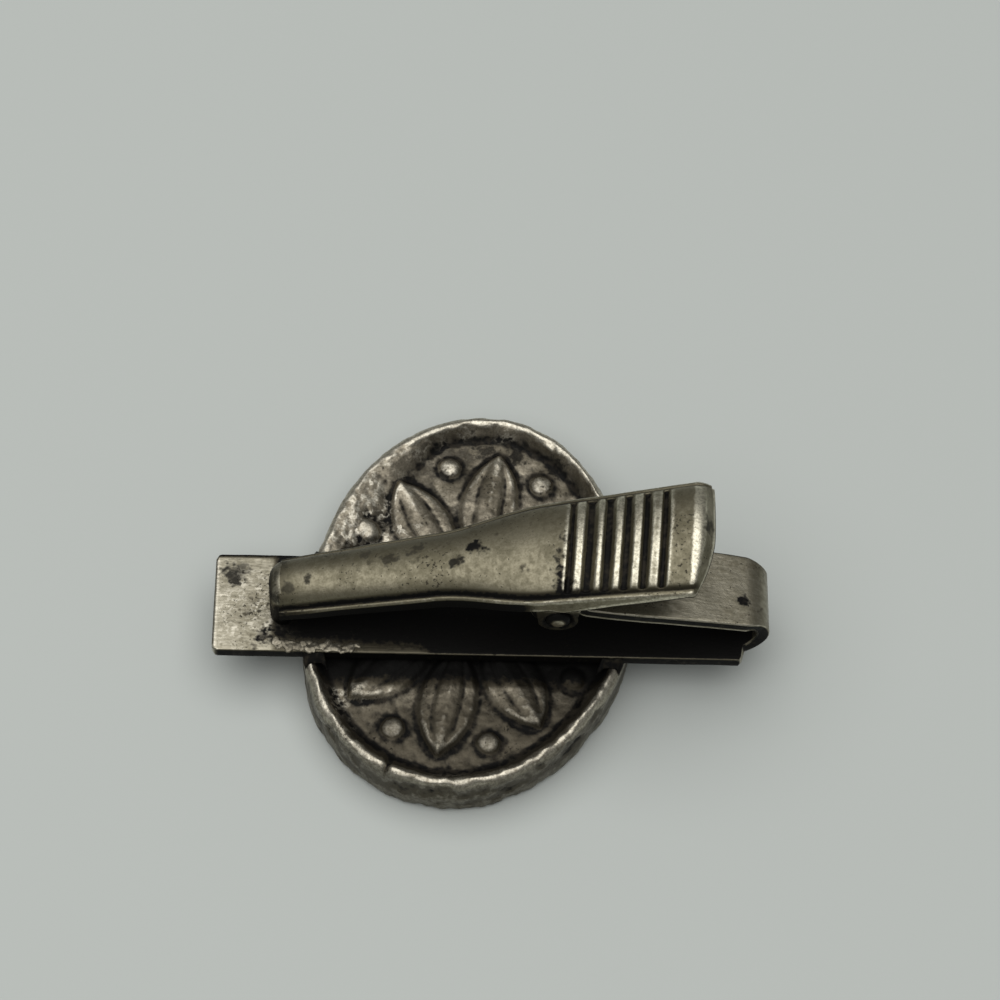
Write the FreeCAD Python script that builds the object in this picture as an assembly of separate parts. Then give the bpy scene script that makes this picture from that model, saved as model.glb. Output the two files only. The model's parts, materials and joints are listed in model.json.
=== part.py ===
import FreeCAD, Part
import math
import os

from FreeCAD import Placement, Rotation, Vector

os.makedirs("parts", exist_ok=True)

# A short tie clip seen from its back: the medallion lies face down, the bar is soldered across it,
# and the spring lever sits on the bar. Millimetres. +X runs along the bar from the jaw's nose to the
# folded end, +Y across the bar, +Z from the medallion's front to the lever. The origin is on the
# plane of the medallion's front rim, under the middle of the clip.

NEAR = 0.001                # places closer than this are the same place

# Medallion
MEDAL_WIDTH = 22.7          # narrow way of the oval
MEDAL_HEIGHT = 29.5         # long way of the oval
MEDAL_THICKNESS = 4.0       # front rim to back rim
MEDAL_CENTRE_X = -1.5
MEDAL_CENTRE_Y = 1.07
MEDAL_TURN = -10.0          # degrees, the oval's lean on the bar
LOBE_SIZE = 0.017           # three lobed distortion of the struck blank
LOBE_TURN = 41.0
LUMP_SIZE = 0.006           # slight corners hammered round the edge
LUMP_COUNT = 5
OUTLINE_SPANS = 7           # stretches of the outline, two arcs each
BACK_RIM = 1.5
BACK_RECESS = 1.1
FRONT_RIM = 1.7
FRONT_RECESS = 0.5
RIM_CHAMFER = 0.4           # worn edges of the back rim, and the front's outer edge
SEAT_DEPTH = 0.3            # flats filed in the back rim for the bar
PETAL_COUNT = 8             # struck rosette on the back
PETAL_START = 0.24          # shares of the way from the middle to the outline
PETAL_END = 0.82
PETAL_WIDTH = 4.2
PETAL_SLOPE = 12.0          # degrees, fall of each side from the petal's keel
PETAL_RISE = 0.65
PELLET_PLACE = 0.76         # share of the way to the outline, between two petals
PELLET_TOP = 0.5            # radius of a pellet's flat top
PELLET_FOOT = 0.8           # and at the field
PELLET_RISE = 0.45
BOSS_TOP = 6.0              # radius of the low boss in the middle of the front
BOSS_FOOT = 7.0
BOSS_RISE = 0.38

# Bar and its folded hinge arm, one strip
BAR_WIDTH = 7.5
STRIP_THICKNESS = 0.95
BAR_NOSE_END = 19.0         # middle of the clip to the free end of the bar
BAR_FOLD = 17.0             # middle of the clip to where the fold starts
BAR_SHOULDER = 17.3         # middle of the clip to the shoulder of the tongue
TONGUE_WIDTH = 6.0          # at the knuckle
FOLD_WIDTH = 5.4            # at the fold
TONGUE_TAPER = 9.0          # length over which the arm narrows to the fold
FOLD_RADIUS = 1.07          # inside the fold
CORNER_ROUND = 0.4          # corners of the free end
ARM_RISE = 11.5             # degrees, the arm climbs towards the pivot
ARM_REACH = 13.2            # from the end of the fold to the pivot, along the arm
KNUCKLE_NECK = 0.75         # inside radius of the offset bend before the roll
KNUCKLE_GAP = 0.05          # end of the roll to the neck

# Pivot
PIN_RADIUS = 0.85
PIN_CLEARANCE = 0.05
PIN_PROUD = 0.3             # length of pin that stands out of each ear
PEEN_RADIUS = 0.6           # flat left on a peened end

# Lever, measured from the pivot
SHEET = 0.5
NOSE_REACH = 19.55          # pivot to the nose
NECK_REACH = 8.6            # pivot to where the narrow jaw starts to widen
SHOULDER_REACH = 0.6        # pivot to where the lever has its full width
PAD_REACH = 0.72            # pivot to the first groove of the thumb pad
TAIL_REACH = 8.75           # pivot to the bend of the tail
TAIL_ROLL = 0.2             # the tail turns down about a line this far below the skirt's foot
TAIL_TURN = 65.0            # degrees
TAIL_EDGE = 1.5             # bend to the middle of the tail's edge
TAIL_BOW = 0.6              # the edge bows out by this between its corners
PAD_SKEW = -4.0             # degrees, the pressed grooves and the bend lean a little across the pad
NOSE_HALF = 1.76            # half widths at the crease
NECK_HALF = 2.2
TAIL_HALF = 3.85
CROWN_RISE = 4.08           # top of the crown above the pivot
LEVER_RISE = 16.3           # degrees, slope of the jaw
PAD_RISE = 14.5             # degrees, slope of the thumb pad
CROWN = 1.15                # height of the crown over the crease
NOSE_CROWN = 1.45           # the same at the nose
LEDGE_WIDTH = 0.4           # narrow flange outside the crease
LEDGE_DROP = 0.2
SKIRT_DEPTH = 1.0           # crease to the skirt's foot
SKIRT_FLARE = 0.1
BACK_SKIRT = 1.4            # the same behind the ears
TAIL_SKIRT = 0.35           # and at the tail
STATION_COUNT = 14          # sections that the pressing is drawn through
NOSE_ROUND = 0.4
NOSE_PROUD = 0.06           # the front wall stands out from the crown
NOSE_GAP = 0.1              # shut jaw to bar
TOOTH_COUNT = 4
TOOTH_DEPTH = 0.5
TOOTH_SLANT = 0.2           # run of a tooth's flank
EAR_RADIUS = 1.35
EAR_SPREAD = 1.25           # the ear widens by this towards its root
EAR_CLEARANCE = 0.25        # ear to knuckle, each side
EAR_INSET = 0.29            # outside of the ear to the crease over it
SINK_DEPTH = 0.2            # dimple round the pin in each ear
SINK_SPREAD = 0.28
GROOVE_COUNT = 6
GROOVE_PITCH = 1.22
GROOVE_WIDTH = 0.55
GROOVE_FLOOR = 0.3
GROOVE_DEPTH = 0.3
GROOVE_SPAN = 0.93          # share of the half width that a groove reaches

# Return spring
SPRING_THICKNESS = 0.3
SPRING_WIDTH = 3.0
SPRING_BEND = 0.45          # inside the fold of the leaf
SPRING_FOOT = 4.6           # leg on the arm
SPRING_START = 3.0          # pivot to the fold of the leaf
SPRING_SHORT = 1.6          # tip of the upper leg to the bend of the tail
SPRING_GAP = 0.05           # tip to the sheet above

# Solder
SOLDER_LEG = 0.55

# Heights and places that follow
MEDAL_CENTRE = Vector(MEDAL_CENTRE_X, MEDAL_CENTRE_Y, 0)
FIELD_Z = MEDAL_THICKNESS - BACK_RECESS
SEAT_Z = MEDAL_THICKNESS - SEAT_DEPTH
BAR_TOP = SEAT_Z + STRIP_THICKNESS
BAR_MID = SEAT_Z + STRIP_THICKNESS / 2
FOLD_MID_RADIUS = FOLD_RADIUS + STRIP_THICKNESS / 2
FOLD_TURN = 180.0 - ARM_RISE
ARM_DIRECTION = Vector(math.cos(math.radians(FOLD_TURN)), 0, math.sin(math.radians(FOLD_TURN)))
FOLD_END = Vector(BAR_FOLD + FOLD_MID_RADIUS * math.sin(math.radians(FOLD_TURN)), 0,
                  BAR_MID + FOLD_MID_RADIUS * (1 - math.cos(math.radians(FOLD_TURN))))
PIVOT = FOLD_END + ARM_DIRECTION * ARM_REACH
BORE_RADIUS = PIN_RADIUS + PIN_CLEARANCE
KNUCKLE_MID = BORE_RADIUS + STRIP_THICKNESS / 2
NECK_MID = KNUCKLE_NECK + STRIP_THICKNESS / 2
EAR_INNER = TONGUE_WIDTH / 2 + EAR_CLEARANCE
EAR_OUTER = EAR_INNER + SHEET
SHOULDER_HALF = EAR_OUTER - EAR_INSET


def save(shape, name):
    """Write one piece, and say how large it came out."""
    shape.exportStep(f"parts/{name}.step")
    box = shape.BoundBox
    print(f"{name}: {len(shape.Solids)} solid(s), {shape.Volume:.1f} mm3, "
          f"{box.XLength:.2f} x {box.YLength:.2f} x {box.ZLength:.2f} mm, valid {shape.isValid()}")


def bent_strip(start, heading, moves, thickness, width):
    """A strip of sheet folded in the XZ plane, centred on Y.

    The moves follow the middle of the sheet: ("run", length) goes straight on, and
    ("bend", radius, degrees) turns about that radius, to the left where degrees is positive.
    """
    half = thickness / 2
    left, right = [], []
    point = start
    angle = math.radians(heading)

    def side(place, direction, offset):
        normal = Vector(-math.sin(direction), 0, math.cos(direction))
        return place + normal * offset

    for move in moves:
        if move[0] == "run":
            end = point + Vector(math.cos(angle), 0, math.sin(angle)) * move[1]
            for edges, offset in ((left, half), (right, -half)):
                edges.append(Part.LineSegment(side(point, angle, offset), side(end, angle, offset)).toShape())
            point = end
        else:
            radius, turn = move[1], math.radians(move[2])
            centre = side(point, angle, math.copysign(radius, turn))

            def on_arc(fraction, offset):
                direction = angle + turn * fraction
                place = side(centre, direction, -math.copysign(radius, turn))
                return side(place, direction, offset)

            for edges, offset in ((left, half), (right, -half)):
                arc = Part.Arc(on_arc(0, offset), on_arc(0.5, offset), on_arc(1, offset))
                edges.append(arc.toShape())
            point = on_arc(1, 0)
            angle += turn
    first = Part.LineSegment(left[0].Vertexes[0].Point, right[0].Vertexes[0].Point).toShape()
    last = Part.LineSegment(left[-1].Vertexes[-1].Point, right[-1].Vertexes[-1].Point).toShape()
    outline = Part.Wire(Part.__sortEdges__(left + [last] + right + [first]))
    strip = Part.Face(outline).extrude(Vector(0, width, 0))
    strip.translate(Vector(0, -width / 2, 0))
    return strip


def medal_point(angle):
    """A point of the struck outline, an oval with a few lobes, in the plane of the front."""
    turn = math.radians(MEDAL_TURN)
    wave = 1 + LOBE_SIZE * math.cos(3 * angle + math.radians(LOBE_TURN))
    wave += LUMP_SIZE * math.cos(LUMP_COUNT * angle)
    u = MEDAL_WIDTH / 2 * wave * math.cos(angle)
    v = MEDAL_HEIGHT / 2 * wave * math.sin(angle)
    return MEDAL_CENTRE + Vector(u * math.cos(turn) - v * math.sin(turn),
                                 u * math.sin(turn) + v * math.cos(turn), 0)


def medal_heading(angle):
    """Direction of the outline at that point."""
    return (medal_point(angle + NEAR) - medal_point(angle - NEAR)).normalize()


def arc_along(start, heading, end):
    """The arc from start to end that sets off along heading."""
    chord = end - start
    normal = Vector(-heading.y, heading.x, 0)
    radius = chord.Length ** 2 / (2 * normal.dot(chord))
    centre = start + normal * radius
    bulge = (start + end) * 0.5 - centre
    middle = centre + bulge.normalize() * abs(radius)
    return Part.Arc(start, middle, end).toShape()


def medal_outline(inset, z):
    """The outline as smooth pairs of arcs, drawn in from the edge by inset."""
    arcs = []
    for span in range(OUTLINE_SPANS):
        first = 2 * math.pi * span / OUTLINE_SPANS
        last = 2 * math.pi * (span + 1) / OUTLINE_SPANS
        start, end = medal_point(first), medal_point(last)
        go, stop = medal_heading(first), medal_heading(last)
        chord = end - start
        both = go + stop
        # equal tangent lengths on both ends of the pair
        a = 2 * (1 - go.dot(stop))
        b = 2 * chord.dot(both)
        length = (-b + math.sqrt(b * b + 4 * a * chord.dot(chord))) / (2 * a)
        meet = (start + end + (go - stop) * length) * 0.5
        arcs.append(arc_along(start, go, meet))
        arcs.append(arc_along(end, stop * -1, meet))
    outline = Part.Wire(Part.__sortEdges__(arcs))
    if inset:
        outline = outline.makeOffset2D(-inset)
    outline.translate(Vector(0, 0, z))
    return outline


def matching_edges(shape, wire):
    """The edges of shape that lie on the edges of wire."""
    middles = [edge.CenterOfMass for edge in wire.Edges]
    return [edge for edge in shape.Edges
            if any((edge.CenterOfMass - middle).Length < NEAR for middle in middles)]


def petal(angle):
    """A pointed oval with a keel, rooted in the blank."""
    spoke = medal_point(angle) - MEDAL_CENTRE
    side = Vector(-spoke.y, spoke.x, 0).normalize() * PETAL_WIDTH
    root, tip = MEDAL_CENTRE + spoke * PETAL_START, MEDAL_CENTRE + spoke * PETAL_END
    middle = (root + tip) * 0.5
    outline = Part.Wire([Part.Arc(root, middle + side * 0.5, tip).toShape(),
                         Part.Arc(tip, middle - side * 0.5, root).toShape()])
    prism = Part.Face(outline).extrude(Vector(0, 0, MEDAL_THICKNESS))
    # both sides of the keel run out past the outline
    keel = MEDAL_CENTRE + Vector(0, 0, FIELD_Z + PETAL_RISE)
    foot = Vector(0, 0, -2 * PETAL_RISE)
    fall = Vector(0, 0, -PETAL_WIDTH * math.tan(math.radians(PETAL_SLOPE)))
    corners = [keel, keel + side + fall, keel + side + foot, keel - side + foot, keel - side + fall]
    return prism.common(Part.Face(Part.makePolygon(corners + corners[:1])).extrude(spoke))


def pellet(angle):
    """A stud with a sloping side, rooted in the blank as deep as it stands out."""
    spoke = medal_point(angle) - MEDAL_CENTRE
    place = MEDAL_CENTRE + spoke * PELLET_PLACE + Vector(0, 0, FIELD_Z - PELLET_RISE)
    return Part.makeCone(2 * PELLET_FOOT - PELLET_TOP, PELLET_TOP, 2 * PELLET_RISE, place)


def front_boss():
    """A low boss with a sloping side, which stands out of the front and is rooted as deep."""
    top = MEDAL_CENTRE + Vector(0, 0, FRONT_RECESS - BOSS_RISE)
    return Part.makeCone(BOSS_TOP, 2 * BOSS_FOOT - BOSS_TOP, 2 * BOSS_RISE, top)


def make_medallion():
    body = Part.Face(medal_outline(0, 0)).extrude(Vector(0, 0, MEDAL_THICKNESS))
    back = Part.Face(medal_outline(BACK_RIM, FIELD_Z))
    front = Part.Face(medal_outline(FRONT_RIM, 0))
    body = body.cut(back.extrude(Vector(0, 0, BACK_RECESS)))
    body = body.cut(front.extrude(Vector(0, 0, FRONT_RECESS)))
    for edge_line in (medal_outline(0, MEDAL_THICKNESS), medal_outline(BACK_RIM, MEDAL_THICKNESS),
                      medal_outline(0, 0)):
        body = body.makeChamfer(RIM_CHAMFER, matching_edges(body, edge_line))
    seat = Part.makeBox(2 * BAR_NOSE_END, BAR_WIDTH, MEDAL_THICKNESS,
                        Vector(-BAR_NOSE_END, -BAR_WIDTH / 2, SEAT_Z))
    body = body.cut(seat)
    relief = [front_boss()]
    for i in range(PETAL_COUNT):
        relief.append(petal(2 * math.pi * i / PETAL_COUNT))
        relief.append(pellet(2 * math.pi * (i + 0.5) / PETAL_COUNT))
    return body.fuse(relief).removeSplitter()


def make_bar():
    apart = NECK_MID + KNUCKLE_MID
    offset_turn = math.degrees(math.acos(NECK_MID / apart))
    neck_start = math.sqrt(apart ** 2 - NECK_MID ** 2)
    # the roll stops where its outer corner comes back to the neck
    outside = KNUCKLE_MID + STRIP_THICKNESS / 2
    neck = NECK_MID + STRIP_THICKNESS / 2 + KNUCKLE_GAP
    left_open = math.degrees(math.acos((apart ** 2 + outside ** 2 - neck ** 2) / (2 * apart * outside)))
    moves = [("run", BAR_NOSE_END + BAR_FOLD),
             ("bend", FOLD_MID_RADIUS, FOLD_TURN),
             ("run", ARM_REACH - neck_start),
             ("bend", NECK_MID, -offset_turn),
             ("bend", KNUCKLE_MID, 360 - left_open)]
    strip = bent_strip(Vector(-BAR_NOSE_END, 0, BAR_MID), 0, moves, STRIP_THICKNESS, BAR_WIDTH)
    tall = PIVOT.z + KNUCKLE_MID + STRIP_THICKNESS
    end = BAR_FOLD + FOLD_MID_RADIUS + STRIP_THICKNESS
    for side in (-1, 1):
        edge, arm, fold = (side * width / 2 for width in (BAR_WIDTH, TONGUE_WIDTH, FOLD_WIDTH))
        past = [Vector(BAR_SHOULDER, fold, 0), Vector(end, fold, 0),
                Vector(end, edge, 0), Vector(BAR_SHOULDER, edge, 0)]
        above = [Vector(-BAR_NOSE_END, arm, 0), Vector(BAR_FOLD - TONGUE_TAPER, arm, 0),
                 Vector(BAR_FOLD, fold, 0), Vector(end, fold, 0),
                 Vector(end, edge, 0), Vector(-BAR_NOSE_END, edge, 0)]
        for plan, level in ((past, 0), (above, BAR_TOP + FOLD_RADIUS / 2)):
            waste = Part.Face(Part.makePolygon(plan + plan[:1])).extrude(Vector(0, 0, tall))
            waste.translate(Vector(0, 0, level))
            strip = strip.cut(waste)
    strip = strip.removeSplitter()
    corners = [edge for edge in strip.Edges if edge.BoundBox.XMax < -BAR_NOSE_END + NEAR
               and edge.BoundBox.YLength < NEAR]
    return strip.makeFillet(CORNER_ROUND, corners)


def smooth_step(x, low, high):
    share = min(max((x - low) / (high - low), 0.0), 1.0)
    return share * share * (3 - 2 * share)


def crease_half(x):
    """Half width of the lever at its crease, x measured from the pivot."""
    if x < -NECK_REACH:
        return NOSE_HALF + (NECK_HALF - NOSE_HALF) * (x + NOSE_REACH) / (NOSE_REACH - NECK_REACH)
    if x < -SHOULDER_REACH:
        return NECK_HALF + (SHOULDER_HALF - NECK_HALF) * smooth_step(x, -NECK_REACH, -SHOULDER_REACH)
    return SHOULDER_HALF + (TAIL_HALF - SHOULDER_HALF) * (x + SHOULDER_REACH) / (TAIL_REACH + SHOULDER_REACH)


def crown(x):
    """Height of the crown over the crease, x measured from the pivot."""
    share = min((x + NOSE_REACH) / (NOSE_REACH - NECK_REACH), 1)
    return NOSE_CROWN + (CROWN - NOSE_CROWN) * share


def crown_height(x):
    """Height of the crown's top over the pivot."""
    if x < PAD_REACH:
        return CROWN_RISE + x * math.tan(math.radians(LEVER_RISE))
    rise = PAD_REACH * math.tan(math.radians(LEVER_RISE))
    return CROWN_RISE + rise + (x - PAD_REACH) * math.tan(math.radians(PAD_RISE))


def crease_height(x):
    return crown_height(x) - crown(x)


def crown_bow(x):
    """Radius of the crown's curve across the lever."""
    return (crease_half(x) ** 2 + crown(x) ** 2) / (2 * crown(x))


def skirt_depth(x):
    """Depth of the skirt: deeper behind the ears, then straight up to the tail's corner."""
    if x < PAD_REACH:
        depth = SKIRT_DEPTH - crown(x) + CROWN
        return depth + (BACK_SKIRT - SKIRT_DEPTH) * smooth_step(x, -PAD_REACH, PAD_REACH)
    return BACK_SKIRT + (TAIL_SKIRT - BACK_SKIRT) * (x - PAD_REACH) / (TAIL_REACH - PAD_REACH)


def mitre(corner, before, after, wall):
    """A corner of the section moved to the inside of a sheet, between the directions either side of it."""
    inward = [Vector(0, way.z, -way.y) for way in (before, after)]
    return corner + (inward[0] + inward[1]) * (wall / (1 + inward[0].dot(inward[1])))


def hat_section(x, wall):
    """One section of the lever, drawn in from its outside by wall and closed below."""
    half = crease_half(x)
    steep = math.asin(half / crown_bow(x))
    ledge = Vector(0, LEDGE_WIDTH, -LEDGE_DROP)
    skirt = Vector(0, SKIRT_FLARE, LEDGE_DROP - skirt_depth(x))
    crease = Vector(x, half, crease_height(x))
    edge = crease + ledge
    foot = edge + skirt
    ways = [Vector(0, math.cos(steep), -math.sin(steep)), ledge.normalize(), skirt.normalize()]
    right = [mitre(crease, ways[0], ways[1], wall),
             mitre(edge, ways[1], ways[2], wall),
             mitre(foot, ways[2], ways[2], wall) + ways[2] * wall]
    left = [Vector(point.x, -point.y, point.z) for point in right]
    top = Vector(x, 0, crown_height(x) - wall)
    round_below = right + left[::-1]
    lines = [Part.LineSegment(a, b).toShape() for a, b in zip(round_below, round_below[1:])]
    return Part.Wire([Part.Arc(left[0], top, right[0]).toShape()] + lines)


def lever_shell():
    """The pressed sheet, straight from each section to the next, with its turned down tail."""
    half = crease_half(TAIL_REACH)
    skew = Rotation(Vector(0, 0, 1), PAD_SKEW)
    spare = half * math.tan(math.radians(abs(PAD_SKEW))) + SHEET
    start = -NOSE_REACH + SHEET / 2
    step = (PAD_REACH - start) / (STATION_COUNT - 1)
    stations = [start + step * i for i in range(STATION_COUNT)] + [TAIL_REACH + spare]
    skins = [Part.makeLoft([hat_section(x, wall) for x in stations], True, True) for wall in (0, SHEET)]
    shell = skins[0].cut(skins[1])
    size = 4 * half
    beyond = Part.makeBox(size, size, size)
    corner = Vector(TAIL_REACH, 0, crease_height(TAIL_REACH))
    beyond.Placement = Placement(corner + skew.multVec(Vector(0, -size / 2, -size / 2)), skew)
    shell = shell.cut(beyond)
    section = max(shell.Faces, key=lambda face: face.CenterOfMass.x)
    axis = Vector(TAIL_REACH, 0, section.BoundBox.ZMin - TAIL_ROLL)
    tail = section.revolve(axis, skew.multVec(Vector(0, 1, 0)), TAIL_TURN)
    bow = (half ** 2 + TAIL_BOW ** 2) / (2 * TAIL_BOW)
    centre = axis + skew.multVec(Vector(TAIL_EDGE - bow, 0, 0))
    trim = Part.makeCylinder(bow, size, centre - Vector(0, 0, size / 2))
    return shell.fuse(tail.common(trim))


def lever_nose():
    """The front wall of the jaw, turned down to the bar, with its teeth."""
    half = NOSE_HALF + NOSE_PROUD
    crease = crease_height(-NOSE_REACH + SHEET)
    top = crown_height(-NOSE_REACH + SHEET) + NOSE_PROUD
    foot = BAR_TOP + NOSE_GAP - PIVOT.z
    place = -NOSE_REACH
    pitch = 2 * half / TOOTH_COUNT
    points = [Vector(place, half, crease)]
    for tooth in range(TOOTH_COUNT):
        start = half - tooth * pitch
        if tooth:
            points.append(Vector(place, start, foot + TOOTH_DEPTH))
            start -= TOOTH_SLANT
        points.append(Vector(place, start, foot))
        last = tooth == TOOTH_COUNT - 1
        points.append(Vector(place, half - (tooth + 1) * pitch + (0 if last else TOOTH_SLANT), foot))
    points.append(Vector(place, -half, crease))
    edges = [Part.LineSegment(a, b).toShape() for a, b in zip(points, points[1:])]
    edges.append(Part.Arc(points[-1], Vector(place, 0, top), points[0]).toShape())
    wall = Part.Face(Part.Wire(edges)).extrude(Vector(SHEET, 0, 0))
    rounded = [edge for edge in wall.Edges
               if edge.BoundBox.XMax < place + NEAR and edge.BoundBox.ZMax > crease - NEAR]
    return wall.makeFillet(NOSE_ROUND, rounded)


def lever_ear(side):
    """A pierced ear, dimpled round the pin, on one side of the knuckle."""
    inner = side * EAR_INNER
    root = Vector(0, inner, crease_height(0) - SKIRT_DEPTH / 2)
    base = Vector(0, inner, 0)
    slope = Vector(math.cos(math.radians(LEVER_RISE)), 0, math.sin(math.radians(LEVER_RISE)))
    flank = slope * EAR_RADIUS
    belly = Vector(slope.z, 0, -slope.x) * EAR_RADIUS
    outline = Part.Wire([Part.LineSegment(root - flank * EAR_SPREAD, base - flank).toShape(),
                         Part.Arc(base - flank, base + belly, base + flank).toShape(),
                         Part.LineSegment(base + flank, root + flank * EAR_SPREAD).toShape(),
                         Part.LineSegment(root + flank * EAR_SPREAD, root - flank * EAR_SPREAD).toShape()])
    return Part.Face(outline).extrude(Vector(0, side * SHEET, 0))


def pin_hole():
    """What is cut from both ears for the pin: the hole and its two dimples."""
    length = 2 * EAR_OUTER
    hole = Part.makeCylinder(PIN_RADIUS, length, Vector(0, -EAR_OUTER, 0), Vector(0, 1, 0))
    for side in (-1, 1):
        face = Vector(0, side * EAR_OUTER, 0)
        dimple = Part.makeCone(PIN_RADIUS + SINK_SPREAD, PIN_RADIUS, SINK_DEPTH, face, Vector(0, -side, 0))
        hole = hole.fuse(dimple)
    return hole


def pad_groove(x):
    """One pressed groove, a trapezoid turned about the centre of the crown's curve."""
    bow = crown_bow(x)
    reach = math.degrees(math.asin(GROOVE_SPAN * crease_half(x) / bow))
    over = bow + GROOVE_DEPTH
    under = bow - GROOVE_DEPTH
    spread = GROOVE_WIDTH - GROOVE_FLOOR
    floor, mouth = GROOVE_FLOOR / 2, GROOVE_WIDTH / 2 + spread / 2
    corners = [Vector(-floor, 0, under), Vector(floor, 0, under),
               Vector(mouth, 0, over), Vector(-mouth, 0, over)]
    profile = Part.Face(Part.makePolygon(corners + corners[:1]))
    profile.rotate(Vector(0, 0, 0), Vector(1, 0, 0), -reach)
    groove = profile.revolve(Vector(0, 0, 0), Vector(1, 0, 0), 2 * reach)
    lean = Rotation(Vector(0, 0, 1), PAD_SKEW).multiply(Rotation(Vector(0, 1, 0), -PAD_RISE))
    top = Vector(x, 0, crown_height(x))
    groove.Placement = Placement(top - lean.multVec(Vector(0, 0, bow)), lean)
    return groove


def make_lever():
    lever = lever_shell().fuse([lever_nose(), lever_ear(-1), lever_ear(1)])
    lever = lever.cut(pin_hole())
    grooves = [pad_groove(PAD_REACH + GROOVE_PITCH * i) for i in range(GROOVE_COUNT)]
    lever = lever.cut(grooves).removeSplitter()
    lever.translate(PIVOT)
    return lever


def make_pin():
    """The rivet, with both ends peened to a low cone."""
    length = EAR_OUTER + PIN_PROUD
    shank = EAR_OUTER
    profile = [Vector(0, -length, 0), Vector(PEEN_RADIUS, -length, 0), Vector(PIN_RADIUS, -shank, 0),
               Vector(PIN_RADIUS, shank, 0), Vector(PEEN_RADIUS, length, 0), Vector(0, length, 0)]
    face = Part.Face(Part.makePolygon(profile + profile[:1]))
    pin = face.revolve(Vector(0, 0, 0), Vector(0, 1, 0), 360)
    pin.translate(PIVOT)
    return pin


def make_spring():
    """The folded leaf: one leg flat on the arm, the other up under the thumb pad."""
    over = Vector(ARM_DIRECTION.z, 0, -ARM_DIRECTION.x)
    middle = SPRING_BEND + SPRING_THICKNESS / 2
    bed = PIVOT - ARM_DIRECTION * SPRING_START + over * (STRIP_THICKNESS / 2 + SPRING_THICKNESS / 2)
    tip = TAIL_REACH - SPRING_SHORT
    hollow = crown_bow(tip) - SHEET
    droop = hollow - math.sqrt(hollow ** 2 - (SPRING_WIDTH / 2) ** 2)
    ceiling = crown_height(tip) - SHEET - droop - SPRING_GAP
    # the upper side of the leg runs from the outside of the fold to the ceiling
    away = PIVOT + Vector(tip, 0, ceiling) - (bed + over * middle)
    outside = SPRING_BEND + SPRING_THICKNESS
    slope = math.degrees(math.atan2(away.z, away.x) - math.asin(outside / away.Length))
    leg = math.sqrt(away.Length ** 2 - outside ** 2)
    moves = [("run", SPRING_FOOT), ("bend", middle, slope - FOLD_TURN), ("run", leg)]
    return bent_strip(bed - ARM_DIRECTION * SPRING_FOOT, FOLD_TURN, moves, SPRING_THICKNESS, SPRING_WIDTH)


def make_solder(medallion, bar):
    """Four fillets in the corners between the bar and the rim that it crosses."""
    rim = Part.Face(medal_outline(0, 0)).cut(Part.Face(medal_outline(BACK_RIM, 0)))
    rim = rim.extrude(Vector(0, 0, 2 * MEDAL_THICKNESS))
    fillets = []
    for side in (-1, 1):
        foot = Vector(-BAR_NOSE_END, side * BAR_WIDTH / 2, MEDAL_THICKNESS - RIM_CHAMFER)
        toe = foot + Vector(0, side * (SOLDER_LEG + RIM_CHAMFER), 0)
        heel = foot + Vector(0, 0, SOLDER_LEG + RIM_CHAMFER)
        bead = Part.Face(Part.makePolygon([foot, toe, heel, foot])).extrude(Vector(2 * BAR_NOSE_END, 0, 0))
        fillets += bead.common(rim).cut(medallion).cut(bar).Solids
    return Part.makeCompound(fillets)


medallion = make_medallion()
bar = make_bar()
save(medallion, "medallion")
save(bar, "bar")
save(make_lever(), "lever")
save(make_pin(), "pivot_pin")
save(make_spring(), "return_spring")
save(make_solder(medallion, bar), "solder")
print(f"pivot at {PIVOT.x:.3f}, {PIVOT.z:.3f}; bar top {BAR_TOP:.3f}")
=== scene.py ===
# %% [markdown]
# This lesson dresses the imported model of a tie clip that lies face down on a pale table. A flat bar is
# soldered across the back of a struck medallion, and a sprung lever is hinged on the bar's folded arm.
# The imported model fixes the sizes and the hinge. Each piece is made again here as a finer mesh in the
# same place, and gets a finish that reads the wear of its own surface, with painted shade and painted
# highlights where the light falls.

# %% Load the frame
import bmesh
import bpy
import json
import math
import numpy as np
from mathutils import Matrix, Vector, noise


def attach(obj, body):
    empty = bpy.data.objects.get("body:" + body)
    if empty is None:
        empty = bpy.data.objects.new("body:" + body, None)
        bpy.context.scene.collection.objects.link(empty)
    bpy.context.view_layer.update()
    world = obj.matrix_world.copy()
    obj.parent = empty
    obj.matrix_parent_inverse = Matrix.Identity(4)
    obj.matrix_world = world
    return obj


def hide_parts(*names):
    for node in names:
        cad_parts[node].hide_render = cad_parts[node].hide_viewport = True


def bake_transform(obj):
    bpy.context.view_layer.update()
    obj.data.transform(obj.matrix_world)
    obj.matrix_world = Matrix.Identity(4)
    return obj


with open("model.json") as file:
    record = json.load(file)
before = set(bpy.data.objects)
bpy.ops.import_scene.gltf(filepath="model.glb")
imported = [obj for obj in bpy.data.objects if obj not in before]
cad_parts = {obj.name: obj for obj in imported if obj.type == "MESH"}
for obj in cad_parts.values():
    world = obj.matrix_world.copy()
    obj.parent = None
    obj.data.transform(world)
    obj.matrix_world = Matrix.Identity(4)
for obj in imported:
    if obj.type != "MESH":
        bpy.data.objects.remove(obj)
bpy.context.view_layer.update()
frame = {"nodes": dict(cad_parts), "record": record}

from types import SimpleNamespace

MM = 0.001
PIVOT = np.array(frame["record"]["behaviour"]["joints"][0]["pos_m"]) / MM
print("frame loaded, pivot at", PIVOT.round(3), "mm")

# %% [markdown]
# The photograph looks down on the clip at about 60 degrees through a long lens, a little turned. A camera
# can be set by hand, but here its three axes are worked out from those angles, so that the same numbers
# can be checked against the picture. It looks at a point level with the top of the bar.

# %% Camera
ELEVATION = math.radians(60.0)
AZIMUTH = math.radians(-3.0)
ROLL = math.radians(3.812)
DISTANCE = 230.0            # millimetres from the point that it looks at
TARGET = Vector((0.593, 8.489, 4.65))
LENS = 118.14


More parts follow.
